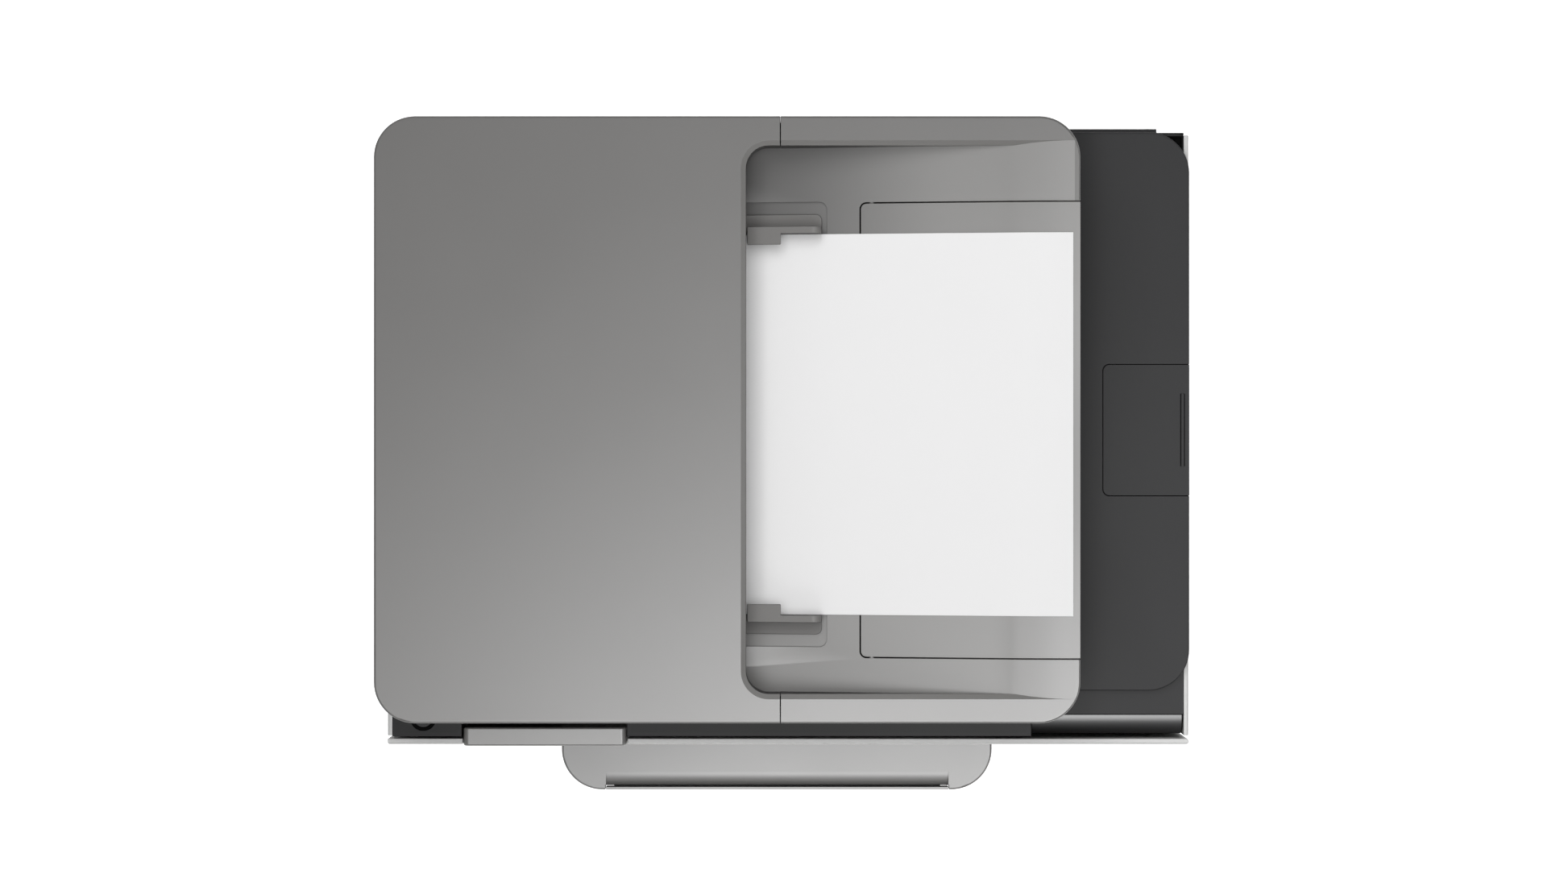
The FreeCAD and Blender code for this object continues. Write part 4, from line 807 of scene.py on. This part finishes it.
def feederDetails():
    s = feederSettings
    (left, right), (low, high) = s["ribSpan"], s["ribHeight"]
    for number, y in enumerate(s["ribs"]):
        block(f"coverRib{number}", (left, y - s["ribWide"], low), (right, y + s["ribWide"], high),
              "lidGrey", "adf_cover", s["ribRounding"])
    block("separatorPad", *s["pad"], "corkPad", "lid", s["padRounding"])
    for number in range(s["teeth"]):
        angle = 2 * math.pi * number / s["teeth"]
        x = s["gear"][0] + s["toothReach"] * math.cos(angle)
        z = s["gear"][1] + s["toothReach"] * math.sin(angle)
        roundBar(f"gearTooth{number}", 1, *s["gearSpan"], (x, z), s["toothRadius"],
                 "axleGrey", "adf_feed_shaft", s["toothSides"])


# Capacitors on the board and vent slots on the power supply, the slots dark strips of painted shade
boardSettings = {"cans": ((98, 140), (108, 140), (118, 140), (150, 80), (158, 80)),
                 "canSpan": (-213.2, -206.0), "canRadius": 3.2, "canSides": 20, "canRounding": 0.4,
                 "slots": 8, "slotFirst": 128, "slotPitch": 9, "slotWide": 3, "slotSpan": (105, 155),
                 "supplyTop": corners("power_supply")[1][2], "slotSunk": 0.1, "slotProud": 0.08}


def boardDetails():
    s = boardSettings
    for number, centre in enumerate(s["cans"]):
        roundBar(f"boardCan{number}", 0, *s["canSpan"], centre, s["canRadius"],
                 "zincSteel", "base", s["canSides"], s["canRounding"])
    front, rear = s["slotSpan"]
    low, high = s["supplyTop"] - s["slotSunk"], s["supplyTop"] + s["slotProud"]
    for number in range(s["slots"]):
        x = s["slotFirst"] + number * s["slotPitch"]
        block(f"supplySlotShade{number}", (x, front, low), (x + s["slotWide"], rear, high), "innerBlack", "base")


for detail in (seamDetails, flapDetails, frontDetails, rearDetails, trayDetails, cartridgeDetails,
               carriageDetails, scannerDetails, feederDetails, boardDetails):
    detail()
print("fittings added")


# A plain pale floor that glows slightly, and a weak white world
stageSettings = {"floor": 40.0, "floorColour": (0.93, 0.93, 0.93), "roughness": 0.9, "specular": 0.1,
                 "glowColour": (1, 1, 1), "glow": 0.7, "worldColour": (1, 1, 1, 1), "worldStrength": 0.22}


def makeStage():
    s = stageSettings
    floorLook = Tree("studioFloor").finish({
        "Base Color": s["floorColour"],
        "Roughness": s["roughness"],
        "Specular IOR Level": s["specular"],
        "Emission Color": s["glowColour"],
        "Emission Strength": s["glow"],
    })
    half = s["floor"] / 2
    mesh = bpy.data.meshes.new("studioFloor")
    points = [(-half, -half, 0), (half, -half, 0), (half, half, 0), (-half, half, 0)]
    mesh.from_pydata(points, [], [(0, 1, 2, 3)])
    mesh.materials.append(floorLook)
    floor = bpy.data.objects.new("studioFloor", mesh)
    bpy.context.scene.collection.objects.link(floor)
    world = bpy.data.worlds.new("studio")
    bpy.context.scene.world = world
    world.use_nodes = True
    background = world.node_tree.nodes["Background"]
    background.inputs["Color"].default_value = s["worldColour"]
    background.inputs["Strength"].default_value = s["worldStrength"]


# The softboxes make the sheen, and the fills only light the matte colour
lights = {
    "frontSoftbox": {"at": (0.17, -0.44, 1.5), "aim": (0.05, -0.05, 0.28), "size": (0.82, 0.62),
                     "power": 13.4, "sheen": True, "matte": False},
    "sideSoftbox": {"at": (0.62, 0.25, 1.5), "aim": (0.1, 0.02, 0.28), "size": (0.4, 0.7),
                    "power": 2.0, "sheen": True, "matte": False},
    "topFill": {"at": (0, 0, 1.6), "aim": (0, 0, 0.2), "size": (1.3, 1.3),
                "power": 12.6, "sheen": False, "matte": True},
    "frontFill": {"at": (0.1, -1.1, 0.9), "aim": (0, 0, 0.15), "size": (0.9, 0.5),
                  "power": 2.2, "sheen": False, "matte": True},
    "rearFill": {"at": (-0.2, 0.8, 1.4), "aim": (0, 0, 0.2), "size": (0.9, 0.6),
                 "power": 5.4, "sheen": False, "matte": True},
}


def makeLights():
    for name, given in lights.items():
        data = bpy.data.lights.new(name, "AREA")
        data.shape = "RECTANGLE"
        data.size, data.size_y = given["size"]
        data.energy = given["power"]
        obj = bpy.data.objects.new(name, data)
        obj.location = given["at"]
        towards = Vector(given["aim"]) - Vector(given["at"])
        obj.rotation_euler = towards.to_track_quat("-Z", "Y").to_euler()
        obj.visible_camera = False
        obj.visible_diffuse = given["matte"]
        obj.visible_glossy = given["sheen"]
        bpy.context.scene.collection.objects.link(obj)


cameraSettings = {"at": (-0.0023, 0.01435, 2.678), "lens": 100.78, "sensor": 36.0}


def makeCamera():  # it looks straight down
    data = bpy.data.cameras.new("view")
    data.lens = cameraSettings["lens"]
    data.sensor_width = cameraSettings["sensor"]
    obj = bpy.data.objects.new("view", data)
    obj.location = cameraSettings["at"]
    bpy.context.scene.collection.objects.link(obj)
    bpy.context.scene.camera = obj


makeStage()
makeLights()
makeCamera()
bpy.context.scene.view_settings.view_transform = "Standard"
print("stage, lights and camera set")
